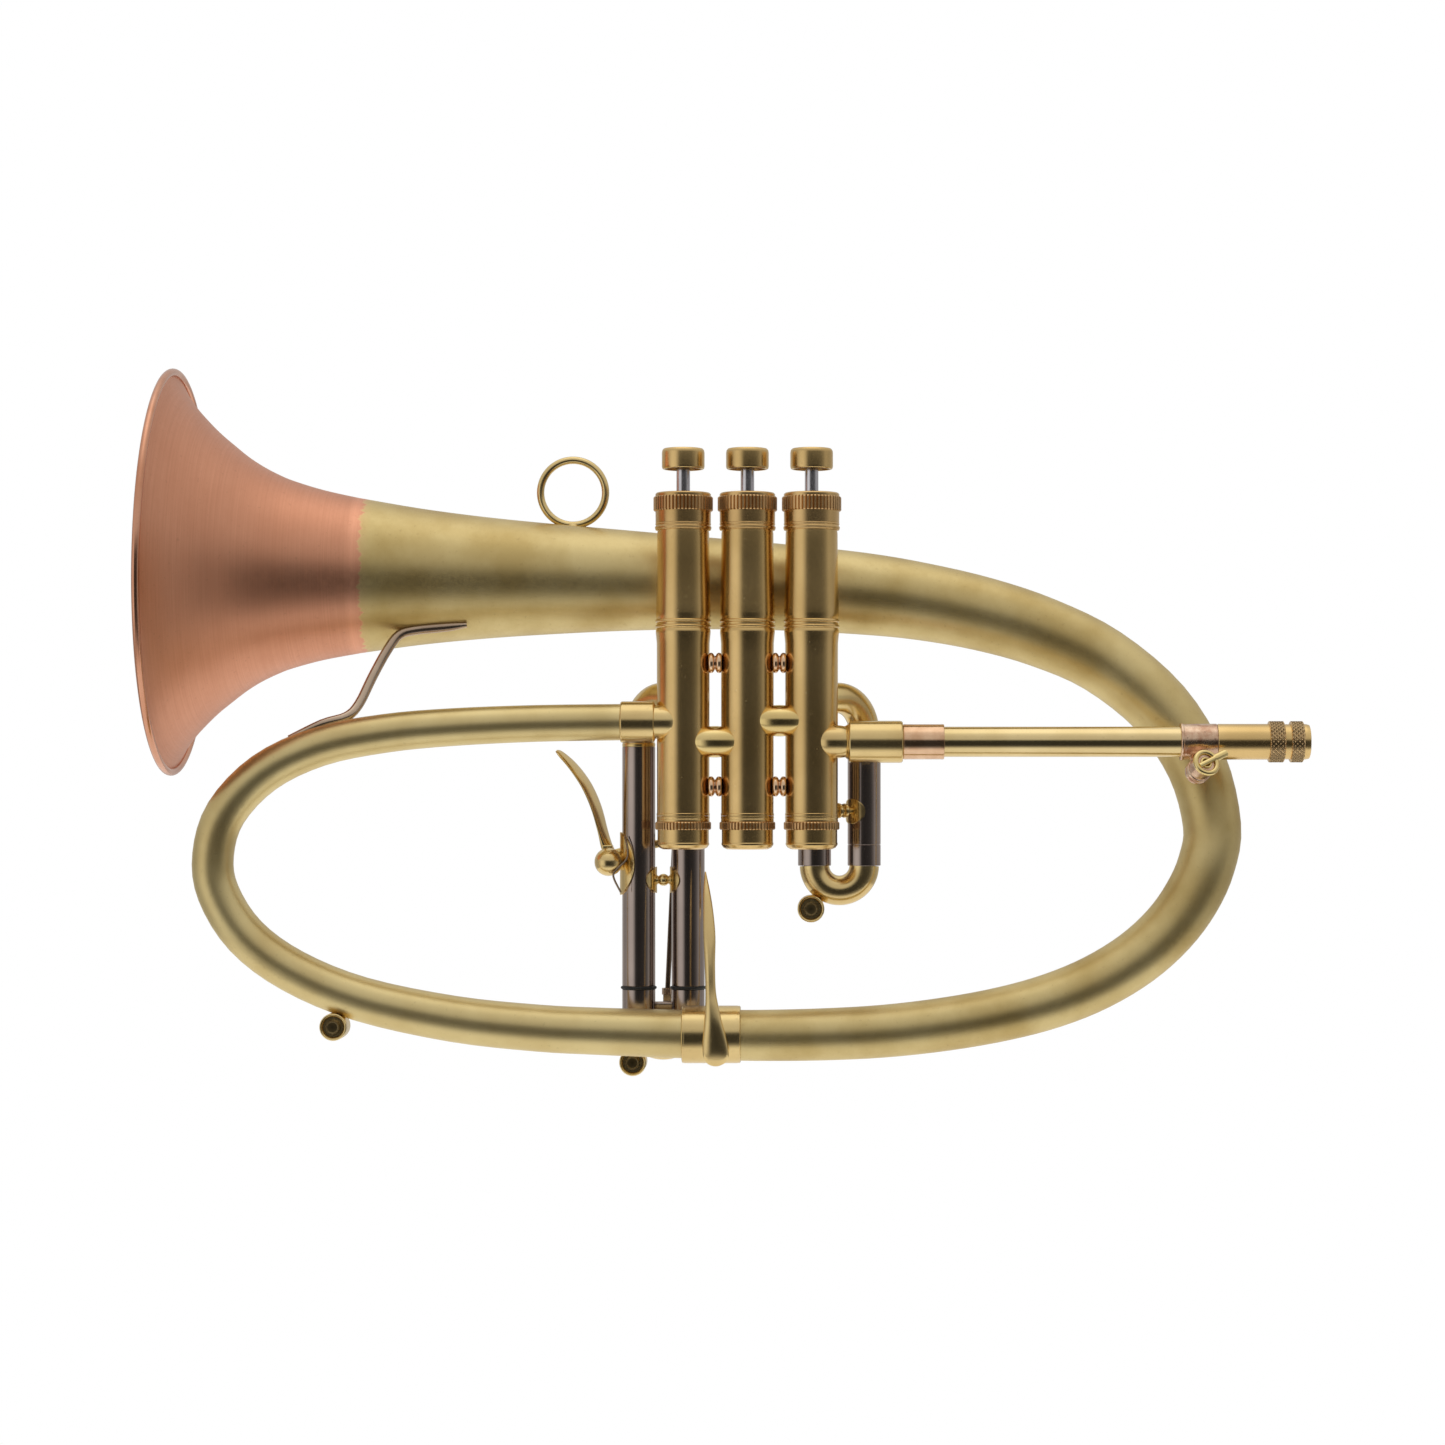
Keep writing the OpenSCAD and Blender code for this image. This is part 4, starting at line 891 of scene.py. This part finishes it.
@dataclass
class Wrap:
    """The bell, the wide tubes of the oval and the fittings soldered to them."""

    wall: float = 0.8
    rim_x: float = -226.0
    rim_z: float = 66.5
    bell_y: float = 31.0
    tilt: float = 0.95
    flare: Route = field(default_factory=lambda: [
        (1.5, 153), (4, 143.6), (8, 132.2), (12, 123), (18, 111), (24, 101), (30, 91.6), (36, 84), (42, 78),
        (48, 73.2), (60, 66.3), (74, 60.6),
    ])
    tail: Route = field(default_factory=lambda: [
        (-152, 31, 65.3, 60.6), (-128, 31, 64.9, 53.2), (-104, 31, 64.5, 47.7), (-80, 31, 64.1, 43.6),
        (-50, 31, 63.5, 39.5), (-20, 31, 62.5, 36.2), (12, 31, 60.9, 33.8), (44, 31, 58.4, 32),
        (68, 31, 55.2, 30.2), (92, 30, 50.2, 28.8), (115, 29, 43, 27.5), (138, 27, 32, 26.2),
        (160, 24, 13.5, 25), (174, 21, -9, 23.4), (179.5, 18, -32, 22.4), (177, 15, -47, 22.2),
        (171, 13.5, -60, 22.1), (162, 12, -72, 21.8), (149.5, 10, -83, 21.6), (134, 8, -92.2, 21.4),
        (117, 6, -99, 21.1), (98, 4, -104, 20.7), (76, 2, -107.8, 20.4), (52, 0, -110.4, 20.1),
        (28, -2, -111.5, 19.8), (4, -3, -111.8, 19.4), (-10, -3, -111.6, 19.2),
    ])
    left: Route = field(default_factory=lambda: [
        (-16, -3, -111.4, 18.6), (-35, -3, -111, 18.3), (-57, -3, -110.2, 18), (-80, -3, -109, 17.9),
        (-112, -3, -105.5, 17.6), (-147, -3, -98, 17), (-173, -3, -87.3, 16.6), (-191, -3, -74, 16.3),
        (-201.4, -3, -57.6, 16), (-203.4, -3, -43, 15.7), (-198.5, -3, -27, 15.6), (-184, -3, -11.8, 15.5),
        (-163, -3, -1.8, 15.2), (-138, -3, 3.2, 14.8), (-112, -3, 5.6, 14.4), (-80, -3, 7, 14),
            (-46, -3, 7.5, 13.8),
    ])
    s_brace: Route = field(default_factory=lambda: [
        (-108.5, 14.8, 45.4, 2, 1.6), (-116, 14.6, 44.6, 3.6, 2.4), (-128, 14, 43.4, 3.8, 2.6),
        (-134.5, 13, 41.4, 3.8, 3), (-139, 10.5, 35, 3.8, 3.2), (-144, 7, 25, 3.8, 3.2),
            (-148.6, 3, 14.6, 3.8, 3.2),
        (-153, -0.5, 9.6, 3.8, 3), (-162, -2.6, 6.8, 3.6, 3.2), (-174.5, -3, 1.4, 2.2, 2.4),
    ])
    hook: Route = field(default_factory=lambda: [
        (-11.2, -12.6, -122.4, 2.4, 1.2), (-11.3, -13.2, -121.6, 6.6, 2.4),
            (-11.5, -13.9, -119.6, 9.4, 3.2),
        (-11.8, -14.5, -116.6, 9.9, 3.8), (-12.2, -14.9, -112, 8.9, 4), (-12.7, -15, -106.4, 6.9, 4),
        (-13.2, -14.5, -100.5, 5.2, 3.8), (-13.7, -13.6, -94, 4, 3.6), (-14.0, -12.4, -84, 4, 3.6),
            (-14.2, -10.8, -74, 4.6, 3),
        (-14.7, -8, -65, 3.9, 2.4), (-15.4, -4.8, -57, 2.6, 1.8), (-16, -1, -49.6, 0.5, 0.6),
    ])

    def build(self) -> None:
        """Builds and dresses the bell, the tubes and their fittings."""
        self.build_bell()
        self.build_left()
        self.build_ferrules()
        self.build_fittings()

    def bell_place(self) -> Place:
        """The bell's axis, from the outer face of its rim."""
        turn = math.radians(self.tilt)
        return Place((self.rim_x, self.bell_y, self.rim_z), (math.cos(turn), 0, -math.sin(turn)))

    def build_bell(self) -> None:
        """The flare with its rolled rim and the tail that runs into the bow."""
        curve = smoothed(self.flare, 4)
        outline = [(q[1] / 2, q[0]) for q in curve]
        inner = [(r - self.wall, h) for r, h in reversed(outline)]
        flare = turned("flare", outline + inner, self.bell_place(), 128, soft=0)
        dress(flare, BELL, "horn", "bell_flare")
        wire = turned("rolled_rim", round_wire(77.8, 1.5, 1.5, 20), self.bell_place(), 160, soft=0)
        dress(wire, COPPER, "horn", "rim_wire")
        tail = tube("tail", smoothed(self.tail, 4), self.wall, 72)
        dress(tail, BELL, "horn", "bell_tail")

    def build_left(self) -> None:
        """The narrower tube round the bell end."""
        dress(tube("end_bow", smoothed(self.left, 4), self.wall, 56), SATIN_BRASS, "horn", "left_tube")

    def build_ferrules(self) -> None:
        """The wide band at the bottom of the oval and the necked one at the third valve."""
        low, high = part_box("bottom_ferrule")
        middle = spot("bottom_ferrule")
        length = (high.x - low.x) / MM
        r = (high.z - low.z) / 2 / MM
        outline = [(9.25, 0), (r - 0.6, 0), (r - 0.15, 0.2), (r - 0.05, 0.5), (r - 0.1, 0.9), (r, 1.2),
            (r, length - 1.2)]
        outline += [(r - 0.1, length - 0.9), (r - 0.05, length - 0.5), (r - 0.15, length - 0.2),
            (r - 0.6, length)]
        outline += [(9.65, length), (9.65, 13), (8.7, 13), (8.7, 11), (9.25, 11)]
        band = turned("bottom_band", outline, Place((low.x / MM, middle.y, middle.z), (1, 0, 0)))
        dress(band, TUBE_GOLD, "horn", "bottom_ferrule")
        middle = spot("outlet_ferrule")
        start = spot("valve_casing_3").x
        outline = [(5.15, 3), (5.9, 3), (5.9, 9.6), (6.3, 10.4), (7.3, 10.8), (7.8, 11.1), (7.9, 11.5),
            (7.9, 23)]
        outline += [(7.75, 23.5), (7.4, 23.8), (7.0, 23.8), (7.0, 20), (5.15, 20)]
        band = turned("outlet_band", outline, Place((start, middle.y, middle.z), (-1, 0, 0)))
        dome = barrel("dome", Vector((start - 9, middle.y - 1.1, middle.z)), 6.4, 8.0, 2.6)
        dress(joined("outlet_socket", [band, dome]), TUBE_GOLD, "horn", "outlet_ferrule")

    def build_fittings(self) -> None:
        """The S-shaped brace, the finger ring, the hand hook and the spools behind the casings."""
        brace = swept("s_bend", smoothed(self.s_brace, 4), 20, Ends.CAPPED)
        dress(brace, SILVER, "horn", "s_brace")
        ring_at = spot("finger_ring")
        ring = turned("ring", round_wire(12.7, 0, 1.45), Place(tuple(ring_at), (0, 1, 0)), 72, soft=0)
        foot = [(0, 0), (4.2, 0), (4.0, 0.5), (2.4, 1.1), (1.9, 2.2), (0, 2.2)]
        stand = turned("ring_foot", foot, Place((ring_at.x, ring_at.y, ring_at.z - 14.4), (0, 0, 1)), 40,
            Ends.CAPPED)
        dress(joined("finger_loop", [ring, stand]), TUBE_GOLD, "horn", "finger_ring")
        hook = swept("hook", smoothed(self.hook, 5), 28, Ends.CAPPED)
        dress(hook, TUBE_GOLD, "horn", "hand_hook")
        low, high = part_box("bell_braces")
        made = []
        for k in (1, 3):
            x = spot(f"valve_casing_{k}").x
            place = Place((x, low.y / MM, spot("bell_braces").z), (0, 1, 0))
            outline = [(0, 0), (2, 0), (2, 0.6), *bead(2, 0.7, 2.1, 2.0), (2, (high.y - low.y) / MM)]
            outline += [(0, (high.y - low.y) / MM)]
            made.append(turned(f"back_spool_{k}", outline, place, 40, Ends.CAPPED, 0.1))
        dress(joined("back_spools", made), ROSE, "horn", "bell_braces")


# ---- Slides ----


@dataclass
class Slide:
    """One upright slide: elbows into its valve, outer sleeves, moving legs and the bow."""

    name: str
    valve: str
    body: str
    legs: tuple[float, float]
    foot: float
    end: float
    bow: float
    lip: float
    leg_top: float
    depth: float = 18.0
    sleeve_r: float = 6.4
    inner_r: float = 5.8
    bow_r: float = 5.75
    elbow_r: float = 5.9
    ports: tuple[float, float] = (17.0, 25.5)
    bends: tuple[float, float] = (13.5, 8.0)

    def build(self) -> None:
        """Builds and dresses the whole slide."""
        self.build_elbows()
        self.build_sleeves()
        self.build_moving()

    def build_elbows(self) -> None:
        """Elbows: up from each sleeve, a quarter bend into the casing, and a collar at the foot."""
        centre = spot(self.valve)
        made = []
        for leg, port, bend in zip(self.legs, self.ports, self.bends):
            out = Vector((leg - centre.x, self.depth - centre.y, 0))
            inwards = -out.normalized()
            up = Vector((0, 0, 1))
            foot = Vector((leg, self.depth, self.foot))
            turn = Vector((leg, self.depth, port - bend)) + inwards * bend
            size = 2 * self.elbow_r
            route = [Vector((*foot, size))]
            route += arc(turn, bend, -inwards, up, 0, 90, size)
            route.append(Vector((centre.x, centre.y, port, size)) - Vector((*(inwards * 8), 0)))
            made.append(tube("elbow", route, 0.8, 48, inwards.cross(up)))
            collar = [(5.2, 0), (6.3, 0), (6.4, 0.3), (6.4, 1.2), (6.2, 1.6), (5.95, 2.2), (5.2, 2.2)]
            made.append(turned("collar", collar, Place(tuple(foot)), 56))
        dress(joined(f"{self.name}_bends", made), TUBE_GOLD, "horn", f"{self.name}_slide_elbows")

    def build_sleeves(self) -> None:
        """The outer sleeves."""
        r, inner = self.sleeve_r, self.inner_r + 0.05
        outline = [(inner, self.end), (r - 0.1, self.end), (r, self.end + 0.15), (r, self.foot - 0.05),
            (inner, self.foot - 0.05)]
        first = turned("sleeve", outline, Place((self.legs[0], self.depth, 0)), 64, soft=0)
        other = copied(first, "sleeve_2", Vector((self.legs[1] - self.legs[0], 0, 0)))
        dress(joined(f"{self.name}_outer_tubes", [first, other]), NICKEL, "horn",
            f"{self.name}_slide_sleeves")

    def build_moving(self) -> None:
        """The legs with their lips, and the bow."""
        r, inner = self.sleeve_r, self.inner_r
        outline = [(5.15, self.bow), (r - 0.15, self.bow), (r, self.bow + 0.2), (r, self.lip - 0.15),
            (r - 0.15, self.lip)]
        outline += [(inner, self.lip), (inner, self.leg_top), (5.15, self.leg_top)]
        first = turned("leg", outline, Place((self.legs[0], self.depth, 0)), 64, soft=0)
        other = copied(first, "leg_2", Vector((self.legs[1] - self.legs[0], 0, 0)))
        parts = [first, other]
        if self.name == "third":
            low = Vector((min(self.legs) + 5, self.depth + 4.5, self.bow + 3.2))
            high = Vector((max(self.legs) - 5, self.depth + 8.8, self.bow + 6.8))
            parts.append(block("cross_bar", low, high, 0.8))
        dress(joined(f"{self.name}_moving_legs", parts), NICKEL, self.body, f"{self.name}_slide_legs")
        self.build_bow()

    def build_bow(self) -> None:
        """The half-round bow."""
        half = abs(self.legs[0] - self.legs[1]) / 2
        centre = Vector(((self.legs[0] + self.legs[1]) / 2, self.depth, self.bow))
        left, down = Vector((-1, 0, 0)), Vector((0, 0, -1))
        bow = tube(f"{self.name}_bow", arc(centre, half, left, down, 0, 180, 2 * self.bow_r), BEND_WALL, 56)
        dress(bow, TUBE_GOLD, self.body, f"{self.name}_slide_bow")


@dataclass
class Fittings:
    """What is soldered to the slides: braces, bumpers and the short slide of the middle valve."""

    leg_r: float = 6.4
    depth: float = 18.0
    brace_z: float = -53.1
    post_z: float = -26.3
    leaf_z: float = -26.6
    post_start: float = 9.8

    def build(self, first: Slide, third: Slide) -> None:
        """Builds and dresses the fittings of both slides."""
        self.build_braces(first, third)
        self.build_bumpers(third)
        self.build_second()

    def build_braces(self, first: Slide, third: Slide) -> None:
        """The ball spool between the third slide's tubes, and the spool from valve 1 to its slide."""
        low, high = sorted(third.legs)
        half = (high - low) / 2 - self.leg_r
        middle = Vector(((low + high) / 2, self.depth, self.brace_z))
        side = [(1.2, -half), (2.2, -half + 0.1), (2.1, -half + 0.7), (1.1, -half + 1), (1.1, -2.6),
            (1.7, -2.5), (1.7, -2.1)]
        ball = [(2.35 * math.cos(a), 2.35 * math.sin(a)) for a in (-0.9, -0.55, -0.2, 0.2, 0.55, 0.9)]
        outline = [(0, -half), *side, *ball, *[(r, -h) for r, h in reversed(side)], (0, half)]
        parts = [turned("ball_spool", outline, Place(tuple(middle), (1, 0, 0)), 40, Ends.CAPPED, 0.05)]
        for x, facing in ((low, 0), (high, 180)):
            axis = Vector((x, self.depth, self.brace_z))
            parts.append(saddle("leaf", axis, self.leg_r, facing, 4.9, 62, 0.7))
        valve = spot("valve_casing_1")
        at = Vector((first.legs[0], self.depth, 0))
        out = Vector((at.x - valve.x, at.y - valve.y, 0))
        length = out.length - self.post_start - self.leg_r
        facing = math.degrees(math.atan2(-out.y, -out.x))
        post = [(0, 0), (1.6, 0), (1.6, length * 0.25), *bead(1.6, length * 0.25, length * 0.45, 1.4),
            (1.5, length * 0.5)]
        post += [*bead(1.5, length * 0.55, length * 0.75, 1.3), (1.4, length + 0.4), (0, length + 0.4)]
        share = self.post_start / out.length
        foot = (valve.x + out.x * share, valve.y + out.y * share, self.post_z)
        place = Place(foot, tuple(out.normalized()))
        parts.append(turned("side_post", post, place, 36, Ends.CAPPED, 0.05))
        parts.append(saddle("leaf", Vector((at.x, at.y, self.leaf_z)), self.leg_r, facing, 4.7, 52, 0.7))
        dress(joined("slide_spools", parts), TUBE_GOLD, "horn", "slide_braces")

    def build_bumpers(self, third: Slide) -> None:
        """Round rubber rings between the third slide's sleeves and the lips of its legs."""
        low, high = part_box("slide_bumpers")
        wire = round_wire(6.35, (low.z + high.z) / 2 / MM, (high.z - low.z) / 2 / MM - 0.02, 14)
        made = [turned("bumper", wire, Place((x, self.depth, 0)), 56, soft=0) for x in third.legs]
        dress(joined("rubber_rings", made), RUBBER, "third_slide", "slide_bumpers")

    def build_second(self) -> None:
        """The middle valve's short slide, which points backwards."""
        low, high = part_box("second_slide_sleeves")
        heights = (low.z / MM + self.leg_r, high.z / MM - self.leg_r)
        centre = spot("valve_casing_2")
        end = high.y / MM
        outline = [(5.15, 6), (5.9, 6), (5.9, 12.6), (6.4, 13), (6.4, end), (5.85, end), (5.85, 13.4),
            (5.15, 13.4)]
        made = [turned("back_sleeve", outline, Place((centre.x, 0, z), (0, 1, 0)), 56) for z in heights]
        dress(joined("second_outer_tubes", made), NICKEL, "horn", "second_slide_sleeves")
        half = (heights[1] - heights[0]) / 2
        bow_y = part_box("second_slide_bow")[1].y / MM - half - 5.75
        middle = Vector((centre.x, bow_y, sum(heights) / 2))
        back, up = Vector((0, 1, 0)), Vector((0, 0, 1))
        outline = [(5.15, 15.6), (5.8, 15.6), (5.8, end + 0.1), (6.4, end + 0.2), (6.4, bow_y),
            (5.15, bow_y)]
        parts = [turned("back_leg", outline, Place((centre.x, 0, z), (0, 1, 0)), 56) for z in heights]
        parts.append(tube("back_bend", arc(middle, half, up, back, 0, 180, 11.5), BEND_WALL, 48,
            Vector((1, 0, 0))))
        dress(joined("second_bow", parts), TUBE_GOLD, "second_slide", "second_slide_bow")


# ---- Third-slide trigger ----


@dataclass
class Trigger:
    """The finger lever of the third slide with its saddle, wire spring and rod."""

    pivot: tuple[float, float, float] = (-53.5, 18.0, -46.0)
    ball_r: float = 5.4
    lean: float = -22.0
    saddle_z: float = -46.8
    arm_y: float = 27.0
    blade: Route = field(default_factory=lambda: [
        (-53.4, 18, -43.0, 4.6, 5.6), (-54.8, 18, -39.8, 3.8, 7.0), (-56.3, 18, -34, 2.4, 8.0),
        (-58.8, 18, -25, 2.0, 9.0), (-62.6, 18, -16.5, 1.8, 9.0), (-67.6, 18, -9.4, 1.7, 7.8),
            (-72.4, 18, -4.5, 1.4, 5.2),
        (-74.2, 18, -3.2, 0.6, 2.2),
    ])
    wire: Route = field(default_factory=lambda: [
        (-47.4, 12.2, -36.2, 0.8), (-46.2, 9.2, -41, 0.8), (-46.6, 7.4, -45, 0.8),
        (-50.4, 5.2, -49, 0.8), (-51.4, 5.6, -51.8, 0.8), (-48.8, 8.5, -57.6, 0.8),
    ])

    def build(self, third: Slide) -> None:
        """Builds and dresses the trigger."""
        self.build_saddle(third)
        self.build_lever()
        self.build_rod()

    def build_saddle(self, third: Slide) -> None:
        """The leaf on the sleeve, the lug with its pin, and the ball in front."""
        x, y, z = self.pivot
        axis = Vector((min(third.legs), third.depth, self.saddle_z))
        parts = [saddle("leaf", axis, third.sleeve_r, 180, 12, 80, 0.9)]
        parts.append(block("lug", Vector((x - 1, y - 1.4, z - 1.6)), Vector((x + 5, y + 1.4, z + 1.6)),
            0.4))
        pin = [(0, 0), (1.3, 0), (1.5, 0.3), (1.5, 13.7), (1.3, 14), (0, 14)]
        parts.append(turned("pin", pin, Place((x, y - 7, z), (0, 1, 0)), 32, Ends.CAPPED, 0))
        turns = [math.pi * k / 14 for k in range(15)]
        ball = [(self.ball_r * math.sin(a), -self.ball_r * math.cos(a)) for a in turns]
        parts.append(turned("ball", ball, Place((x, y - 9, z), (0, 1, 0)), 56, Ends.CAPPED, 0))
        dress(joined("trigger_mount", parts), TUBE_GOLD, "horn", "trigger_saddle")

    def build_lever(self) -> None:
        """The curved blade, its two cheeks and the arm behind the slide."""
        x, y, z = self.pivot
        parts = [swept("blade", smoothed(self.blade, 5), 32, Ends.CAPPED, lean=self.lean)]
        for low in (y - 3.6, y + 1.6):
            cheek = [(1.56, low), (3.2, low), (3.6, low + 0.3), (3.6, low + 1.7), (3.2, low + 2),
                (1.56, low + 2)]
            parts.append(turned("cheek", cheek, Place((x, 0, z), (0, 1, 0)), 40))
            parts.append(block("strap", Vector((x - 2.8, low + 0.05, z + 2.4)),
                Vector((x + 1.2, low + 1.95, z + 6.4)), 0.5))
        parts.append(block("hub", Vector((x - 2, y + 3.5, z + 1.6)), Vector((x + 2, y + 10, z + 4.2)), 0.7))
        top = Vector((-29, self.arm_y, -38))
        arm = [Vector((x - 1, self.arm_y, z + 2.2, 3.4, 2)), Vector((x + 8, self.arm_y, z + 4.6, 3.2, 1.9)),
            Vector((*top, 3.0, 1.8))]
        parts.append(swept("arm", arm, 20, Ends.CAPPED))
        pin = [(0, 0), (0.9, 0), (0.9, 4.4), (0, 4.4)]
        parts.append(turned("arm_pin", pin, Place(tuple(top), (0, 1, 0)), 24, Ends.CAPPED))
        dress(joined("lever", parts), TUBE_GOLD, "trigger", "trigger_lever")
        spring = swept("spring_wire", smoothed(self.wire, 5), 12, Ends.CAPPED)
        dress(spring, WIRE, "horn", "trigger_spring")

    def build_rod(self) -> None:
        """The connecting rod with its knurled nut; the slotted eye stays as it is in the frame."""
        dress_node("slide_rod", SILVER)
        place = Place((-31.6, 29.5, 0))
        outline = [(1.1, -98.2), (1.9, -98.2), (2.15, -97.9), (2.15, -95.9), (1.9, -95.6), (1.1, -95.6)]
        nut = turned("lock_nut", outline, place, 36, soft=0.1)
        knurled(nut, place, -97.95, -95.85, 0.18, 2 * math.pi / 36, Knurl.STRAIGHT)
        dress(nut, SILVER, "third_slide")


# ---- Water keys ----


@dataclass
class WaterKey:
    """A press-button water key: a barrel beside the tube and a sprung plunger."""

    name: str
    home: str
    towards: tuple[float, float, float]
    radius: float = 5.2
    length: float = 12.0

    def build(self) -> None:
        """Builds and dresses the barrel with its neck, and the plunger."""
        barrel, plunger = f"{self.name}_barrel", f"{self.name}_plunger"
        middle = spot(plunger)
        start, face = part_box(barrel)[0].y / MM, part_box(plunger)[0].y / MM
        r, back = self.radius, self.length
        rim = [(2.66, 1.3), (3.9, 1.3), (4.1, 1.1), (4.15, 0.3), (4.4, 0.05), (4.8, 0), (r - 0.1, 0.2),
            (r, 0.6)]
        body = [(r, 1.7), (r - 0.15, 1.9), (r - 0.15, 2.2), (r, 2.4), (r, back - 0.6), (r - 0.5, back),
            (0, back)]
        well = [(0, back - 1.5), (2.66, back - 1.5)]
        parts = [turned("shell", rim + body + well, Place((middle.x, start, middle.z), (0, 1, 0)), 56,
            soft=0)]
        foot = Vector((middle.x, start + back / 2,
            middle.z)) + Vector(self.towards).normalized() * (r - 0.4)
        neck = [(0, -0.4), (2.4, -0.4), (2.2, 0.3), (2.8, 1.3), (0, 1.3)]
        parts.append(turned("neck", neck, Place(tuple(foot), self.towards), 32, Ends.CAPPED))
        dress(joined(f"{self.name}_shell", parts), TUBE_GOLD, self.home, barrel)
        cap = [(0, 0.25), (1.9, 0.25), (2.0, 0.05), (2.1, 0), (2.45, 0.05), (2.6, 0.3), (2.6, 6), (0, 6)]
        button = turned(f"{self.name}_button", cap, Place((middle.x, face, middle.z), (0, 1, 0)), 48,
            Ends.CAPPED, 0)
        dress(button, KEY_BRONZE, self.name, plunger)


# ---- Studio ----


@dataclass
class Studio:
    """The camera, the pale floor and the soft light."""

    camera_at: tuple[float, float, float] = (20.1, -1300.0, -18.3)
    view_width: float = 551.5
    view_centre: tuple[float, float] = (-9.5, 7.4)
    sensor: float = 36.0
    floor_z: float = -620.0
    floor_size: float = 2.0
    floor_back: float = 0.6
    floor_glow: float = 0.25
    horizon: list[tuple[float, float]] = field(default_factory=lambda: [
        (0.0, 0.6), (0.12, 0.5), (0.19, 0.36), (0.27, 0.5), (0.33, 0.82), (0.385, 0.78), (0.42, 0.4),
            (0.445, 0.05),
        (0.5, 0.03), (0.6, 0.05), (0.64, 0.09), (0.68, 0.2), (0.72, 0.42), (0.8, 0.36), (0.88, 0.45),
            (1.0, 0.6),
    ])
    overhead: list[tuple[float, float]] = field(default_factory=lambda: [
        (0.0, 0.5), (0.3, 0.58), (0.65, 0.64), (0.87, 0.8), (0.96, 1.15), (1.0, 1.2),
    ])
    table: list[tuple[float, float]] = field(default_factory=lambda: [
        (0.0, 0.05), (0.45, 0.08), (0.62, 0.3), (0.8, 0.8), (0.95, 1.1), (1.0, 1.15),
    ])

    def build(self) -> None:
        """Sets up the camera, the floor and the light."""
        self.build_camera()
        self.build_floor()
        self.build_world()
        bpy.context.scene.view_settings.view_transform = "Standard"

    def ramp(
        self, graph: Graph, value: bpy.types.NodeSocket, stops: list[tuple[float, float]]
    ) -> bpy.types.NodeSocket:
        """Brightness as a ramp of (position, value), very slightly warm."""
        made = graph.add("ShaderNodeValToRGB", {0: value})
        bar = made.color_ramp
        bar.elements[0].position, bar.elements[1].position = stops[0][0], stops[-1][0]
        for position, _ in stops[1:-1]:
            bar.elements.new(position)
        for element, (_, shade) in zip(bar.elements, stops):
            element.color = (shade, shade * 0.985, shade * 0.96, 1)
        return made.outputs[0]

    def build_camera(self) -> None:
        """A level camera in front of the horn."""
        select_only()
        bpy.ops.object.camera_add(location=Vector(self.camera_at) * MM, rotation=(math.pi / 2, 0, 0))
        camera = bpy.context.object
        camera.data.sensor_width = self.sensor
        camera.data.lens = self.sensor * -self.camera_at[1] / self.view_width
        camera.data.shift_x = (self.view_centre[0] - self.camera_at[0]) / self.view_width
        camera.data.shift_y = (self.view_centre[1] - self.camera_at[2]) / self.view_width
        camera.data.clip_end = 20
        bpy.context.scene.camera = camera

    def build_floor(self) -> None:
        """A plain pale floor well below the horn."""
        bpy.ops.mesh.primitive_plane_add(size=self.floor_size,
            location=(0, self.floor_back, self.floor_z * MM))
        floor = bpy.context.object
        floor.name = "floor"
        made = bpy.data.materials.new("PaleFloor")
        made.use_nodes = True
        sockets = made.node_tree.nodes["Principled BSDF"].inputs
        sockets["Base Color"].default_value = (0.86, 0.86, 0.85, 1)
        sockets["Roughness"].default_value = 0.9
        sockets["Emission Color"].default_value = (1, 0.99, 0.97, 1)
        sockets["Emission Strength"].default_value = self.floor_glow
        floor.data.materials.append(made)

    def build_world(self) -> None:
        """White behind the horn; for reflections, soft boxes round a dark gap at the camera."""
        world = bpy.data.worlds.new("Studio")
        bpy.context.scene.world = world
        world.use_nodes = True
        world.node_tree.nodes.clear()
        graph = Graph(world.node_tree)
        way = graph.add("ShaderNodeSeparateXYZ",
            {0: graph.add("ShaderNodeTexCoord").outputs["Generated"]}).outputs
        round_about = graph.maths("ARCTAN2", way[0], graph.maths("MULTIPLY", way[1], -1.0))
        level = self.ramp(graph, graph.ranged(round_about, (-math.pi, math.pi), (0.0, 1.0)), self.horizon)
        above = self.ramp(graph, way[2], self.overhead)
        below = self.ramp(graph, graph.maths("MULTIPLY", way[2], -1.0), self.table)
        up = graph.ranged(way[2], (0.12, 0.3), (0.0, 1.0))
        down = graph.ranged(way[2], (-0.4, -0.7), (0.0, 1.0))
        light = graph.mixed(down, graph.mixed(up, level, above), below)
        lit = graph.add("ShaderNodeBackground", {"Color": light, "Strength": 1.0}).outputs[0]
        plain = graph.add("ShaderNodeBackground", {"Color": (1, 1, 1, 1), "Strength": 1.0}).outputs[0]
        seen = graph.add("ShaderNodeLightPath").outputs["Is Camera Ray"]
        both = graph.add("ShaderNodeMixShader", {0: seen, 1: lit, 2: plain}).outputs[0]
        graph.add("ShaderNodeOutputWorld", {"Surface": both})


def main() -> None:
    """Builds the studio and every sub-assembly in order."""
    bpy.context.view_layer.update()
    Studio().build()
    Valves().build()
    Leadpipe().build()
    Wrap().build()
    first = Slide("first", "valve_casing_1", "first_slide", (44.9, 25.7), -5.7, -39.4, -47.6, -39.5, -6.7)
    third = Slide("third", "valve_casing_3", "third_slide", (-42.3, -23.2), -1.7, -94.0, -107.4, -95.4,
        -13.7)
    first.build()
    third.build()
    Fittings().build(first, third)
    Trigger().build(third)
    WaterKey("bow_key", "horn", (1.4, 0, 4.2)).build()
    WaterKey("first_key", "first_slide", (2.6, 0, 5)).build()
    WaterKey("third_key", "third_slide", (3, 0, 4.6)).build()


if __name__ == "__main__":
    logging.basicConfig(level=logging.INFO, format="%(message)s")
    main()
